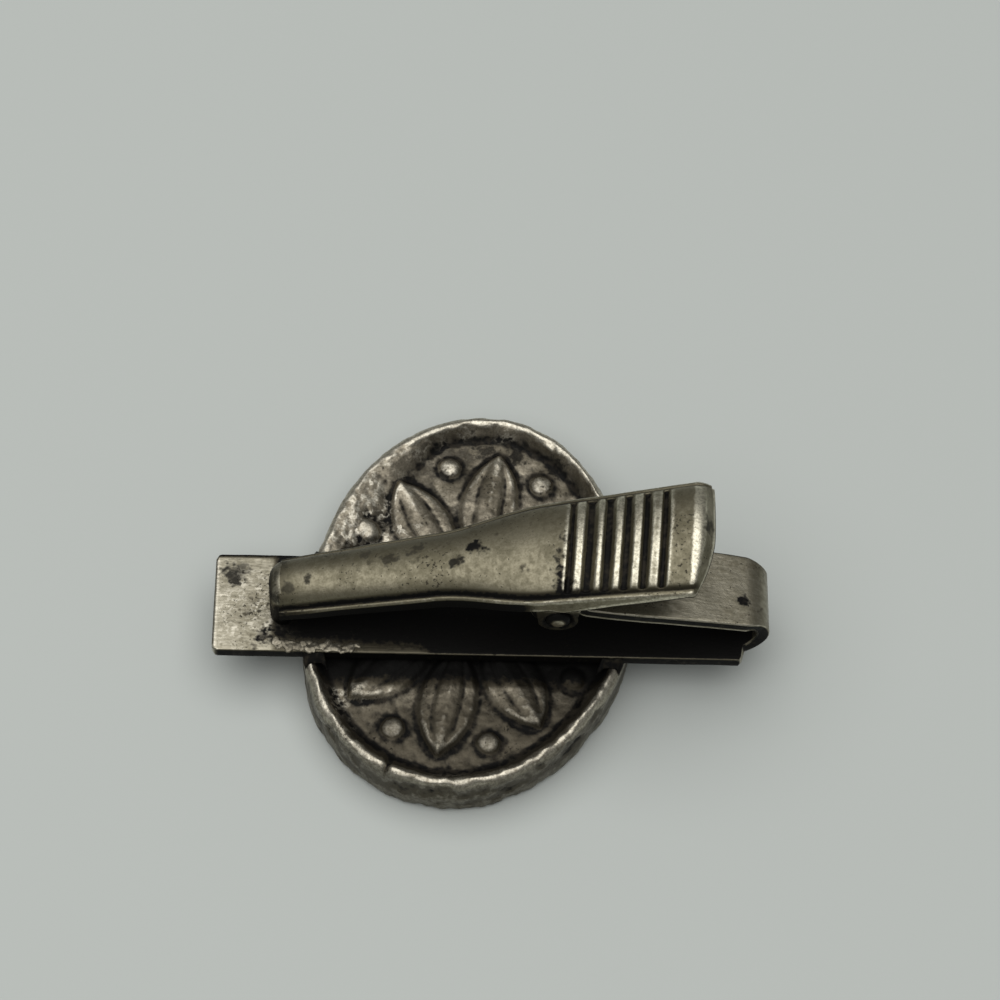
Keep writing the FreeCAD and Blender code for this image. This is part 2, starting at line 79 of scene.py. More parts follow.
def placed(name, data):
    """A new object, linked to the scene."""
    thing = bpy.data.objects.new(name, data)
    bpy.context.collection.objects.link(thing)
    return thing


back = Vector((math.sin(AZIMUTH) * math.cos(ELEVATION), -math.cos(AZIMUTH) * math.cos(ELEVATION),
               math.sin(ELEVATION)))
level = Vector((math.cos(AZIMUTH), math.sin(AZIMUTH), 0))
upright = back.cross(level)
right = level * math.cos(ROLL) + upright * math.sin(ROLL)
up = upright * math.cos(ROLL) - level * math.sin(ROLL)
lens = bpy.data.cameras.new("camera")
lens.lens = LENS
lens.clip_start = 0.01
camera = placed("camera", lens)
turned = Matrix((right, up, back)).transposed().to_4x4()
camera.matrix_world = Matrix.Translation((TARGET + back * DISTANCE) * MM) @ turned
bpy.context.scene.camera = camera
print("camera at", [round(v / MM, 1) for v in camera.matrix_world.translation], "mm")

# %% [markdown]
# Node trees are easier to read as sums. Each output socket is wrapped in a small class whose operators
# add Math nodes, and every other node comes from one method that sets the node up first and then fills
# its sockets. The same two classes serve shaders and Geometry Nodes.

# %% Sockets that can be used in sums
class Wire:
    """An output socket; sums on it add Math nodes to its tree."""

    def __init__(self, nodes, socket):
        self.nodes = nodes
        self.socket = socket

    def sum(self, operation, first, second):
        return self.nodes.add("ShaderNodeMath", {"operation": operation}, {0: first, 1: second})

    def __add__(self, other):
        return self.sum("ADD", self, other)

    def __sub__(self, other):
        return self.sum("SUBTRACT", self, other)

    def __rsub__(self, other):
        return self.sum("SUBTRACT", other, self)

    def __mul__(self, other):
        return self.sum("MULTIPLY", self, other)

    __radd__ = __add__
    __rmul__ = __mul__


class Nodes:
    """A node tree that is filled one node at a time."""

    def __init__(self, tree):
        self.tree = tree

    def add(self, kind, settings=None, inputs=None, out=0):
        node = self.tree.nodes.new(kind)
        for name, value in (settings or {}).items():
            setattr(node, name, value)
        for key, value in (inputs or {}).items():
            if isinstance(value, Wire):
                self.tree.links.new(value.socket, node.inputs[key])
            else:
                node.inputs[key].default_value = value
        return Wire(self, node.outputs[out]) if node.outputs else None

    def step(self, value, low, high):
        """A smooth step from 0 at low to 1 at high."""
        return self.add("ShaderNodeMapRange", {"interpolation_type": "SMOOTHSTEP"},
                        {"Value": value, "From Min": low, "From Max": high})

    def blend(self, share, first, second):
        """A colour between two."""
        return self.add("ShaderNodeMix", {"data_type": "RGBA"}, {0: share, 6: first, 7: second}, 2)

    def most(self, values):
        """The highest of some values."""
        highest = values[0]
        for value in values[1:]:
            highest = self.add("ShaderNodeMath", {"operation": "MAXIMUM"}, {0: highest, 1: value})
        return highest

    def cloud(self, place, scale, detail=4.0):
        """Fractal noise, with scale in features per millimetre."""
        return self.add("ShaderNodeTexNoise", None,
                        {"Vector": place, "Scale": scale, "Detail": detail}, "Fac")


print("node helpers ready")

# %% [markdown]
# The table is one pale grey sheet. The photograph has one broad light overhead and dim walls: level metal is
# bright, and metal that leans to either side falls off quickly. So one large round lamp hangs over the clip,
# and a weak grey world fills the rest. Together they light a surface at about the level at which it was
# painted.

# %% Floor and light
FLOOR_HALF = 2.0
FLOOR_COLOUR = (0.49, 0.515, 0.49, 1)
FLOOR_ROUGH = 0.9
LAMP_PLACE = (-0.1, -0.04, 0.55)
LAMP_WIDTH = 0.9
LAMP_POWER = 3.93
WALL_GREY = (0.2, 0.205, 0.2, 1)

lamp = bpy.data.lights.new("overhead", "AREA")
lamp.shape = "DISK"
lamp.size = LAMP_WIDTH
lamp.energy = LAMP_POWER
hung = placed("overhead", lamp)
hung.location = LAMP_PLACE
world = bpy.data.worlds.new("studio")
world.use_nodes = True
world.node_tree.nodes["Background"].inputs["Color"].default_value = WALL_GREY
bpy.context.scene.world = world
bpy.context.scene.view_settings.view_transform = "Standard"

paper = bpy.data.materials.new("table_paper")
paper.use_nodes = True
surface = paper.node_tree.nodes["Principled BSDF"]
surface.inputs["Base Color"].default_value = FLOOR_COLOUR
surface.inputs["Roughness"].default_value = FLOOR_ROUGH
sheet = bpy.data.meshes.new("table")
sheet.from_pydata([(-FLOOR_HALF, -FLOOR_HALF, 0), (FLOOR_HALF, -FLOOR_HALF, 0),
                   (FLOOR_HALF, FLOOR_HALF, 0), (-FLOOR_HALF, FLOOR_HALF, 0)], [], [(0, 1, 2, 3)])
sheet.materials.append(paper)
table = placed("table", sheet)
print("table and lamp set")

# %% [markdown]
# Most pieces here follow a rule: a section that changes along a path. Such a piece is a grid of points,
# worked out with numpy in millimetres, and then welded into one closed mesh. A tube of closed loops with
# two caps covers the bar, the spring, and the shell and the nose of the lever.

# %% Meshes from grids of points
WELD = 2e-6


def ramp(x, low, high):
    """0 up to low, 1 from high on, and a smooth change in between."""
    share = np.clip((np.asarray(x, float) - low) / (high - low), 0, 1)
    return share * share * (3 - 2 * share)


def quads(rows, columns, close_rows, close_columns):
    """Corners of the faces of a grid, which may close on itself either way."""
    i, j = np.meshgrid(np.arange(rows if close_rows else rows - 1),
                       np.arange(columns if close_columns else columns - 1), indexing="ij")
    below, beside = (i + 1) % rows, (j + 1) % columns
    corners = [i * columns + j, i * columns + beside, below * columns + beside, below * columns + j]
    return np.stack(corners, -1).reshape(-1, 4)


def cap(loop):
    """A closing strip between the first half of a loop and the second half, read backwards."""
    half = len(loop) // 2
    return np.stack([loop[:half], loop[:half - 1:-1]])


def tube(loops):
    """Closed loops joined in a row, with a cap at each end."""
    loops = np.asarray(loops)
    return [(loops, False, True), (cap(loops[0]), False, False), (cap(loops[-1]), False, False)]


def make_piece(name, patches):
    """One welded mesh from grids of points in millimetres, with its faces outward."""
    points, faces, count = [], [], 0
    for grid, close_rows, close_columns in patches:
        rows, columns = grid.shape[:2]
        points.append(grid.reshape(-1, 3))
        faces.append(quads(rows, columns, close_rows, close_columns) + count)
        count += rows * columns
    mesh = bpy.data.meshes.new(name)
    mesh.from_pydata((np.vstack(points) * MM).tolist(), [], np.vstack(faces).tolist())
    work = bmesh.new()
    work.from_mesh(mesh)
    bmesh.ops.remove_doubles(work, verts=work.verts, dist=WELD)
    bmesh.ops.dissolve_degenerate(work, edges=work.edges, dist=WELD)
    bmesh.ops.recalc_face_normals(work, faces=work.faces)
    work.to_mesh(mesh)
    work.free()
    return placed(name, mesh)


def settle(piece):
    """Turn a piece's modifiers into its mesh."""
    shown = piece.evaluated_get(bpy.context.evaluated_depsgraph_get())
    mesh = bpy.data.meshes.new_from_object(shown)
    piece.modifiers.clear()
    piece.data = mesh


def fuse(piece, voxel, rounds):
    """Join what overlaps into one skin of even faces, and soften its edges."""
    skin = piece.modifiers.new("skin", "REMESH")
    skin.mode = "VOXEL"
    skin.voxel_size = voxel * MM
    soft = piece.modifiers.new("soft", "SMOOTH")
    soft.iterations = rounds
    settle(piece)


def unite(piece, others):
    """Weld other closed pieces to this one, and drop what is left inside."""
    for other in others:
        weld = piece.modifiers.new("weld", "BOOLEAN")
        weld.operation = "UNION"
        weld.solver = "MANIFOLD"
        weld.object = other
    settle(piece)
    for other in others:
        bpy.data.objects.remove(other)


print("mesh helpers ready")

# %% [markdown]
# Old plating is dark where a cloth never reaches and bright where it always does. A pointiness node
# would show that, but the export can't keep it, so the wear is measured on the mesh: each point is
# compared with a smoothed copy of the surface, and the height between the two is stored as an attribute. A
# second attribute holds painted light: above zero it is painted shade, under other pieces, in creases and on
# faces turned from the lamp, with the grime that gathers there, and below zero it is a painted highlight
# where the lamp is mirrored.

# %% Wear measured on the mesh
def read_vectors(items, name, width=3):
    values = np.empty(len(items) * width)
    items.foreach_get(name, values)
    return values.reshape(-1, width)


def store(mesh, name, values):
    mesh.attributes.new(name, "FLOAT", "POINT").data.foreach_set("value", np.clip(values, -1, 1))


def roughen(piece, size, scale):
    """Dent a surface by up to size, with scale in dents per millimetre."""
    points = read_vectors(piece.data.vertices, "co")
    normals = read_vectors(piece.data.vertices, "normal")
    dents = np.array([noise.noise(Vector(point) * (scale / MM)) for point in points])
    points += normals * (dents * size * MM)[:, None]
    piece.data.vertices.foreach_set("co", points.ravel())


def mark_wear(piece, rounds, depth, painted_light=None):
    """Store how far each point stands out of the surface round it: 1 for depth, -1 for as far below.

    A function of places in millimetres and normals gives the painted light at each point: painted shade up
    to 1, and a painted highlight down to -1.
    """
    mesh = piece.data
    points = read_vectors(mesh.vertices, "co")
    normals = read_vectors(mesh.vertices, "normal")
    edges = read_vectors(mesh.edges, "vertices", 2).astype(int)
    count = len(points)
    degree = np.bincount(edges.ravel(), minlength=count)
    soft = points.copy()
    for _ in range(rounds):
        for axis in range(3):
            values = soft[:, axis]
            total = np.bincount(edges[:, 0], values[edges[:, 1]], count)
            total += np.bincount(edges[:, 1], values[edges[:, 0]], count)
            soft[:, axis] = total / degree
    wear = ((points - soft) * normals).sum(1) / (depth * MM)
    store(mesh, "wear", wear)
    # Painted light: painted shade above zero, painted highlight below zero.
    if painted_light:
        store(mesh, "painted_light", painted_light(points / MM, normals))
    mesh.polygons.foreach_set("use_smooth", np.ones(len(mesh.polygons), bool))
    print(piece.name, len(mesh.polygons), "faces, wear", np.percentile(wear, [2, 50, 98]).round(2))


# %% [markdown]
# One recipe gives all the plated metal: clean plate mottled by tarnish, pits and scratches of a tenth of
# a millimetre, grime in the low places and bright wear on the high ones, and painted shade and painted
# highlights where a piece's painted light asks for them. Each piece sets its own colours and amounts.
# Painted textures would fit one view only, so everything is noise in the piece's own coordinates, and single
# stains, painted shadows and painted glints are soft balls at a named place.

# %% Marks on aged plate
USUAL_LOOK = {"rough": 0.42, "bump": 0.35, "mottle": (0.36, 0.66), "patch": 0.55, "pits": 0.66, "blots": 0.66,
              "grime": (-0.9, -0.2), "shine": (0.35, 1.0), "grain": (7.0, 7.0, 7.0), "turn": 0.0,
              "stains": (), "polished": ()}
BROAD_SCALE = 0.35          # noise features per millimetre
SMEAR_SCALE = 0.75
FINE_SCALE = 2.6
SPECK_SCALE = 5.0


def plate_noise(nodes, look):
    """Places on the piece in millimetres, and noise on them, from broad patches to specks."""
    coordinates = nodes.add("ShaderNodeTexCoord", out="Object")
    place = nodes.add("ShaderNodeVectorMath", {"operation": "SCALE"}, {0: coordinates, "Scale": 1 / MM})
    turn = (0, 0, math.radians(look.turn))
    brushed = nodes.add("ShaderNodeMapping", None, {"Vector": place, "Rotation": turn, "Scale": look.grain})
    return SimpleNamespace(
        place=place, broad=nodes.cloud(place, BROAD_SCALE), smear=nodes.cloud(place, SMEAR_SCALE, 7.0),
        fine=nodes.cloud(place, FINE_SCALE, 6.0), speck=nodes.cloud(place, SPECK_SCALE, 2.0),
        scratch=nodes.cloud(brushed, 1.0, 3.0))


def spots(nodes, noises, marks):
    """Ragged balls, each from its centre, its radius and its strength."""
    balls = []
    for centre, radius, strength in marks:
        away = nodes.add("ShaderNodeVectorMath", {"operation": "DISTANCE"},
                         {0: noises.place, 1: centre}, "Value")
        ragged = (noises.fine - 0.5) * (radius * 2.2) + (noises.smear - 0.5) * (radius * 2.6)
        balls.append((1 - nodes.step(away + ragged, radius * 0.35, radius)) * strength)
    return balls


def plate_marks(nodes, look, noises):
    """How far each place is tarnished and painted shaded, worn and painted bright, pitted, and dirty and
    painted black, and whether that dark is brown.
    """
    wear = nodes.add("ShaderNodeAttribute", {"attribute_name": "wear"}, out="Fac")
    # Painted light: painted shade above zero, painted highlight below zero.
    painted_light = nodes.add("ShaderNodeAttribute", {"attribute_name": "painted_light"}, out="Fac")
    fine = noises.fine - 0.5
    cast = noises.broad * look.patch + noises.fine * (1 - look.patch)
    # Tarnish mottling, and painted shade where the painted light is above zero.
    tarnish_and_painted_shade = nodes.most([nodes.step(cast, *look.mottle), nodes.step(painted_light, 0.05, 0.4)])
    # Painted shade, which turns the colour brown.
    painted_shade = nodes.step(painted_light, 0.1, 0.6)
    # Painted highlight, where the painted light is below zero.
    painted_highlight = nodes.most([0 - painted_light, 0])
    # Real wear on the high places, with the painted highlight added.
    rubbed_and_sheen = nodes.step(wear + painted_highlight + fine * 1.2, *look.shine) * (1 - painted_shade)
    # Painted glints: listed patches of painted highlight, broken up by fine noise.
    glint = nodes.step(noises.fine, 0.44, 0.6)
    rubbed_and_sheen = nodes.most([rubbed_and_sheen] + [ball * glint for ball in spots(nodes, noises, look.polished)])
    low = 1 - nodes.step(wear + fine * 0.5, *look.grime)
    # Painted black shade where the painted light is strong.
    painted_black_shade = nodes.step(painted_light + fine * 0.9, 0.45, 0.78)
    pitted = nodes.step(noises.speck + (noises.broad - 0.5) * 0.6, look.pits, look.pits + 0.08)
    blotted = nodes.step(noises.smear + fine * 0.3, look.blots, look.blots + 0.14)
    # Grime, pits, blots and stains, with the painted black shade and listed painted shadows.
    dirt_and_painted_shade = nodes.most([low, painted_black_shade, pitted * 0.7, blotted * 0.75] + spots(nodes, noises, look.stains))
    brown = nodes.step(noises.fine * 0.5 + noises.smear * 0.5, 0.46, 0.6) * (1 - painted_black_shade)
    return SimpleNamespace(tarnish_and_painted_shade=tarnish_and_painted_shade, painted_shade=painted_shade, rubbed_and_sheen=rubbed_and_sheen, pitted=pitted, brown=brown,
                           dirt_and_painted_shade=dirt_and_painted_shade * (1 - rubbed_and_sheen * 0.8))


print("marks ready, with", len(USUAL_LOOK), "settings")

# %% Aged plate
# Colours of grime, also used for painted shade.
BLACK_GRIME_AND_SHADE = (0.003, 0.0026, 0.002, 1)
BROWN_GRIME_AND_SHADE = (0.022, 0.018, 0.0125, 1)
SCRATCH_STRENGTH = 0.45
# How far painted shade turns the colour brown.
PAINTED_SHADE_STRENGTH = 0.8
BUMP_HEIGHT = 0.04


def aged_plate(name, clean, tarnish_and_painted_shade_colour, bright, **changes):
    """Plate in three colours. The changes replace settings of the usual look."""
    look = SimpleNamespace(**{**USUAL_LOOK, **changes})
    material = bpy.data.materials.new(name)
    material.use_nodes = True
    nodes = Nodes(material.node_tree)
    noises = plate_noise(nodes, look)
    marks = plate_marks(nodes, look, noises)
    # Clean plate turns to the darker colour for tarnish and for painted shade.
    colour = nodes.blend(marks.tarnish_and_painted_shade, clean, tarnish_and_painted_shade_colour)
    # Worn places and painted highlights turn bright.
    colour = nodes.blend(marks.rubbed_and_sheen, colour, bright)
    colour = nodes.blend(nodes.step(noises.scratch, 0.42, 0.66) * SCRATCH_STRENGTH, colour, tarnish_and_painted_shade_colour)
    # Painted shade turns brown.
    colour = nodes.blend(marks.painted_shade * PAINTED_SHADE_STRENGTH, colour, BROWN_GRIME_AND_SHADE)
    # Grime, stains and painted shade turn black and brown.
    colour = nodes.blend(marks.dirt_and_painted_shade, colour, nodes.blend(marks.brown, BLACK_GRIME_AND_SHADE, BROWN_GRIME_AND_SHADE))
    rough = look.rough + (marks.tarnish_and_painted_shade - marks.rubbed_and_sheen) * 0.1 + marks.dirt_and_painted_shade * 0.2 + (noises.scratch - 0.5) * 0.15
    relief = nodes.add("ShaderNodeBump", None, {
        "Strength": look.bump, "Distance": BUMP_HEIGHT * MM,
        "Height": (noises.fine + noises.scratch) * 0.45 - marks.pitted * 0.5}, "Normal")
    shader = material.node_tree.nodes["Principled BSDF"]
    made = {"Base Color": colour, "Metallic": 1 - marks.dirt_and_painted_shade * 0.25, "Roughness": rough, "Normal": relief}
    for socket, value in made.items():
        material.node_tree.links.new(value.socket, shader.inputs[socket])
    return material


def finish(piece, material, body, slot, *replaced):
    """Give a finished mesh its material, its body and the CAD node that it stands for."""
    piece.data.materials.clear()
    piece.data.materials.append(material)
    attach(piece, body)
    if replaced:
        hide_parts(*replaced)


print("plate recipe ready")

# %% [markdown]
# The medallion was struck from a thick blank, so its outline is a lumpy oval and its rim is a worn, hammered
# ridge. A polar grid suits it: rows run from the middle of the back, over the rim and down the edge to
# the middle of the front, and each row has the outline's own shape. The relief is a height added to the
# grid: a plain rosette of keeled petals with pellets between them. On the front it is lower, round a boss.

# %% Medallion outline
MEDAL_WIDTH = 22.7
MEDAL_HEIGHT = 29.5
MEDAL_TURN = math.radians(-10.0)
LOBE_SIZE = 0.017
LOBE_TURN = math.radians(41.0)
LUMP_SIZE = 0.006
LUMP_COUNT = 5
MEDAL_COLUMNS = 440


def medal_edge(angle):
    """Points of the outline, from the middle of the medallion."""
    wave = 1 + LOBE_SIZE * np.cos(3 * angle + LOBE_TURN) + LUMP_SIZE * np.cos(LUMP_COUNT * angle)
    u = MEDAL_WIDTH / 2 * wave * np.cos(angle)
    v = MEDAL_HEIGHT / 2 * wave * np.sin(angle)
    return np.stack([u * math.cos(MEDAL_TURN) - v * math.sin(MEDAL_TURN),
                     u * math.sin(MEDAL_TURN) + v * math.cos(MEDAL_TURN)], -1)


edge = medal_edge(np.linspace(0, 2 * math.pi, MEDAL_COLUMNS, endpoint=False))
reach = np.linalg.norm(edge, axis=1)[None]
print("medallion reaches", reach.min().round(2), "to", reach.max().round(2), "mm from its middle")

# %% Rosette
PETAL_COUNT = 8
PETAL_START = 0.24          # places of petals and pellets are shares of the way from the middle to the edge
PETAL_END = 0.82
PETAL_WIDTH = 4.2
PETAL_RISE = 0.65
PETAL_SLOPE = math.tan(math.radians(12.0))
PETAL_FLANK = (-0.15, 0.4)  # the petal rises between these, measured in from its outline
VEIN_PLACE = 0.45           # share of the way from the keel to the outline
VEIN_WIDTH = 0.16
VEIN_DEPTH = 0.09
PELLET_PLACE = 0.76
PELLET_RADIUS = 0.85
PELLET_RISE = 0.45


def petal(places, angle):
    """Height of one petal over the field, at places measured from the middle."""
    spoke = medal_edge(angle)
    length = np.linalg.norm(spoke)
    along = places @ spoke / length
    across = np.abs(places @ np.array([-spoke[1], spoke[0]]) / length)
    half_length = (PETAL_END - PETAL_START) / 2 * length
    middle = (PETAL_END + PETAL_START) / 2 * length
    bow = (half_length ** 2 + (PETAL_WIDTH / 2) ** 2) / PETAL_WIDTH
    outline = np.sqrt(np.clip(bow ** 2 - (along - middle) ** 2, 0, None)) - bow + PETAL_WIDTH / 2
    keel = PETAL_RISE - PETAL_SLOPE * across
    vein = VEIN_DEPTH * np.exp(-((across - outline * VEIN_PLACE) / VEIN_WIDTH) ** 2)
    return (keel - vein) * ramp(outline - across, *PETAL_FLANK)


def pellet(places, angle):
    away = np.linalg.norm(places - medal_edge(angle) * PELLET_PLACE, axis=-1)
    return PELLET_RISE * np.sqrt(np.clip(1 - (away / PELLET_RADIUS) ** 2, 0, None))


def rosette(places):
    forms = []
    for i in range(PETAL_COUNT):
        forms.append(petal(places, 2 * math.pi * i / PETAL_COUNT))
        forms.append(pellet(places, 2 * math.pi * (i + 0.5) / PETAL_COUNT))
    return np.maximum.reduce(forms)


def soften(heights):
    """Average each height with its neighbours, round the ring and then along the spoke."""
    heights = (np.roll(heights, 1, 1) + 2 * heights + np.roll(heights, -1, 1)) / 4
    heights[1:-1] = (heights[:-2] + 2 * heights[1:-1] + heights[2:]) / 4
    return heights


print("rosette of", PETAL_COUNT, "petals")

# %% Back of the medallion
MEDAL_THICKNESS = 4.0
BACK_RECESS = 1.1
RIM_ROUND = 0.6
RIM_TOP = 0.45              # from the edge, where the rim starts to fall and where it meets the field
RIM_FOOT = 1.8
FLAT_WAY = np.array([-0.8, 0.6])            # on this side the strike left hardly any rim
FLAT_SPREAD = (0.7, 0.98)
FLAT_RUN = 2.0
NOTCH_WAY = np.array([-0.385, -0.923])      # on this side a crack runs across the rim
NOTCH_WIDTH = 0.2
NOTCH_DEPTH = 0.35
BACK_ROWS = 140

share = np.linspace(0, 1, BACK_ROWS)[:, None]
inset = (1 - share) * reach
places = share[:, :, None] * edge
flat_side = ramp(edge @ FLAT_WAY / reach[0], *FLAT_SPREAD)[None]
rim = 1 - ramp(inset, RIM_TOP, RIM_FOOT + FLAT_RUN * flat_side)
worn = RIM_ROUND - np.sqrt(RIM_ROUND ** 2 - np.clip(RIM_ROUND - inset, 0, None) ** 2)
from_notch = places @ np.array([-NOTCH_WAY[1], NOTCH_WAY[0]])
notch = np.exp(-(from_notch / NOTCH_WIDTH) ** 2) * (places @ NOTCH_WAY > 0) * rim
back_height = MEDAL_THICKNESS - BACK_RECESS * (1 - rim) - worn
back_height = back_height + soften(rosette(places)) - NOTCH_DEPTH * notch
print("back lies", back_height.min().round(2), "to", back_height.max().round(2), "mm over the table")

# %% Front of the medallion
FRONT_RECESS = 0.5
FRONT_RIM = (1.4, 2.0)      # from the edge, where the rim starts to fall and where it meets the field
FRONT_RELIEF = 0.65         # height of the front's rosette, as a share of the back's
RIM_CHAMFER = 0.4
BOSS_TOP = 6.0
BOSS_FOOT = 7.0
BOSS_RISE = 0.38
FRONT_ROWS = 66

front_share = np.linspace(1, 0, FRONT_ROWS)[:, None]
front_inset = (1 - front_share) * reach
boss = 1 - ramp(front_share * reach, BOSS_TOP, BOSS_FOOT)
front_rosette = FRONT_RELIEF * soften(rosette(front_share[:, :, None] * edge))
chamfer = np.clip(RIM_CHAMFER - front_inset, 0, None)
front_height = FRONT_RECESS * ramp(front_inset, *FRONT_RIM) + chamfer
front_height = front_height - np.maximum(BOSS_RISE * boss, front_rosette * (1 - boss))
print("front lies up to", front_height.max().round(2), "mm over the table")

# %% Medallion mesh
MEDAL_CENTRE = np.array([-1.5, 1.07])
WALL_ROWS = 10
LUMP_SCALE = 0.5            # noise features per millimetre
GRAIN_SCALE = 2.4
FIELD_DENT = 0.09
RIM_DENT = 0.17
DENT_SINK = 0.02
DENT_CREST = 0.1            # no dent's lip stands higher than this
EDGE_DENT = 0.016           # share of the way in from the edge
EDGE_START = 0.9
SEAT_Z = 3.7
SEAT_CLEAR = 0.02
SEAT_PLAY = 0.05
SEAT_EDGE = 0.3             # the seat runs out over this, beside the bar
BAR_WIDTH = 7.5


def cloud_heights(points, scale):
    """Fractal noise at each point of a grid."""
    values = [noise.fractal(Vector(point) * scale, 0.75, 2.1, 3) for point in points.reshape(-1, 3)]
    return np.array(values).reshape(points.shape[:2])


wall = np.linspace(0, 1, WALL_ROWS + 2)[1:-1, None]
wall_height = (1 - wall) * back_height[-1:] + wall * front_height[:1]
shares = np.concatenate([share, np.ones_like(wall), front_share])
heights = np.concatenate([back_height, wall_height, front_height])
medal_points = np.concatenate([shares[:, :, None] * edge, heights[:, :, None]], -1)
lumps = cloud_heights(medal_points, LUMP_SCALE)
grains = cloud_heights(medal_points, GRAIN_SCALE)
outer = ramp(shares, EDGE_START, 1.0)
knocks = np.clip(lumps + grains * 0.15 + 0.2, 0, 1.2)
medal_points[:, :, :2] *= 1 - (EDGE_DENT * outer * knocks)[:, :, None]
medal_points[:, :, :2] += MEDAL_CENTRE
dent = FIELD_DENT + (RIM_DENT - FIELD_DENT) * rim
dents = (lumps * 0.8 + grains * 0.25)[:BACK_ROWS]
medal_points[:BACK_ROWS, :, 2] += np.minimum(dent * dents - DENT_SINK, DENT_CREST)
from_middle = np.abs(medal_points[:, :, 1])
beside_bar = ramp(from_middle, BAR_WIDTH / 2 + SEAT_PLAY, BAR_WIDTH / 2 + SEAT_EDGE)
medal_points[:, :, 2] = np.minimum(medal_points[:, :, 2], SEAT_Z - SEAT_CLEAR + beside_bar)
medallion = make_piece("struck_medallion", [(medal_points, False, True)])
print("medallion of", len(medallion.data.vertices), "points")

# %% Medallion finish
# Painted shade on the edge, beside the bar and on the near half; a painted highlight, with real wear, on the
# rim's crest.
EDGE_SHADE = 0.3
NEAR_SHADE = 0.33           # the half of the medallion that is nearest the camera
CREST_WEAR_AND_SHEEN = 0.15
NEAR_CREST_WEAR_AND_SHEEN = -0.1
# Dark spots: the first three are painted shadow under the rim at the top; the others darken spots of the
# field and the crack at the bottom.
MEDAL_STAINS_AND_SHADOWS = [((-0.5, 13.6, 3.2), 1.1, 0.8), ((2.0, 13.3, 3.1), 1.2, 0.9), ((4.4, 12.2, 3.1), 1.1, 0.9),
                ((-3.3, 11.4, 3.0), 0.5, 0.9), ((-1.2, 11.8, 3.0), 0.4, 0.8), ((-2.6, 12.9, 3.0), 1.6, 0.6),
                ((-4.8, 12.2, 3.0), 1.3, 0.55), ((-6.9, -11.9, 3.5), 0.5, 1.0)]
# Painted highlights on the rim and the field.
MEDAL_GLINTS = [((-9.8, 7.6, 3.4), 5.5, 0.9), ((-2.3, -12.8, 4.0), 2.4, 0.5), ((-5.6, 13.9, 4.0), 2.0, 0.8),
                ((-2.9, 15.2, 4.0), 2.0, 0.9), ((0.9, 15.5, 4.0), 2.0, 0.8), ((-10.6, -7.0, 3.9), 2.6, 0.9)]


def medal_painted_light(points, normals):
    """Painted shade on the edge, on the half nearest the camera and, with grime, beside the bar; a painted
    highlight, with real wear, on the rim's crest.
    """
    _, y, z = points.T
    leaning = ramp(1 - np.abs(normals[:, 2]), 0.1, 0.5)
    side = EDGE_SHADE * (1 - ramp(z, 2.8, 3.8)) * leaning
    beside = (1 - ramp(np.abs(y) - BAR_WIDTH / 2, 0.3, 2.6)) * ramp(normals[:, 2], 0.3, 0.7)
    near_half = NEAR_SHADE * ramp(-y, 3.0, 8.0)
    dark = np.maximum.reduce([side, beside, near_half])
    crest = ramp(z, MEDAL_THICKNESS - 0.42, MEDAL_THICKNESS - 0.12)
    rubbed_and_sheen = CREST_WEAR_AND_SHEEN + (NEAR_CREST_WEAR_AND_SHEEN - CREST_WEAR_AND_SHEEN) * ramp(-y, 7.0, 12.0)
    return dark * (1 - crest) - rubbed_and_sheen * crest


mark_wear(medallion, rounds=16, depth=0.06, painted_light=medal_painted_light)
antiqued = aged_plate(
    "antiqued_silver", (0.28, 0.248, 0.19, 1), (0.1, 0.087, 0.063, 1), (0.62, 0.58, 0.48, 1),
    bump=0.6, mottle=(0.4, 0.64), patch=0.75, pits=0.68, grime=(-1.0, 0.0), shine=(0.5, 1.5),
    stains=MEDAL_STAINS_AND_SHADOWS, polished=MEDAL_GLINTS)
finish(medallion, antiqued, "frame", "medallion_metal", "medallion")

# %% [markdown]
# The bar is a strip of plate that runs under the lever, folds back over itself at one end, and is rolled
# into a knuckle at the other. It could be a curve with a bevel, but its width changes, so the strip's
# middle line is followed step by step, and each step places a rounded section across it.

# %% Bar path
STRIP_THICKNESS = 0.95
BAR_NOSE_END = 19.0
BAR_FOLD = 17.0
FOLD_RADIUS = 1.07
ARM_RISE = 11.5
ARM_REACH = 13.2
KNUCKLE_NECK = 0.75
KNUCKLE_TURN = 297.0
BORE_RADIUS = 0.9
BAR_STEP = 0.2

BAR_MID = SEAT_Z + STRIP_THICKNESS / 2
FOLD_MID = FOLD_RADIUS + STRIP_THICKNESS / 2
KNUCKLE_MID = BORE_RADIUS + STRIP_THICKNESS / 2
NECK_MID = KNUCKLE_NECK + STRIP_THICKNESS / 2


def follow(start, heading, moves, step):
    """Points and headings along a bent line: (length, 0) runs on, (radius, degrees) bends."""
    place = np.array(start, float)
    way = math.radians(heading)
    points, ways = [place.copy()], [way]
    for size, turn in moves:
        turn = math.radians(turn)
        length = size * abs(turn) if turn else size
        count = max(int(round(length / step)), 1)
        for _ in range(count):
            middle = way + turn / count / 2
            chord = 2 * size * math.sin(abs(turn) / count / 2) if turn else size / count
            place = place + chord * np.array([math.cos(middle), math.sin(middle)])
            way += turn / count
            points.append(place)
            ways.append(way)
    return np.array(points), np.array(ways)


apart = NECK_MID + KNUCKLE_MID
neck_turn = math.degrees(math.acos(NECK_MID / apart))
arm_length = ARM_REACH - math.sqrt(apart ** 2 - NECK_MID ** 2)
bar_moves = [(BAR_NOSE_END + BAR_FOLD, 0), (FOLD_MID, 180 - ARM_RISE), (arm_length, 0),
             (NECK_MID, -neck_turn), (KNUCKLE_MID, KNUCKLE_TURN)]
bar_points, bar_ways = follow((-BAR_NOSE_END, BAR_MID), 0, bar_moves, BAR_STEP)
print("bar line of", len(bar_points), "points ends", bar_points[-1].round(2))

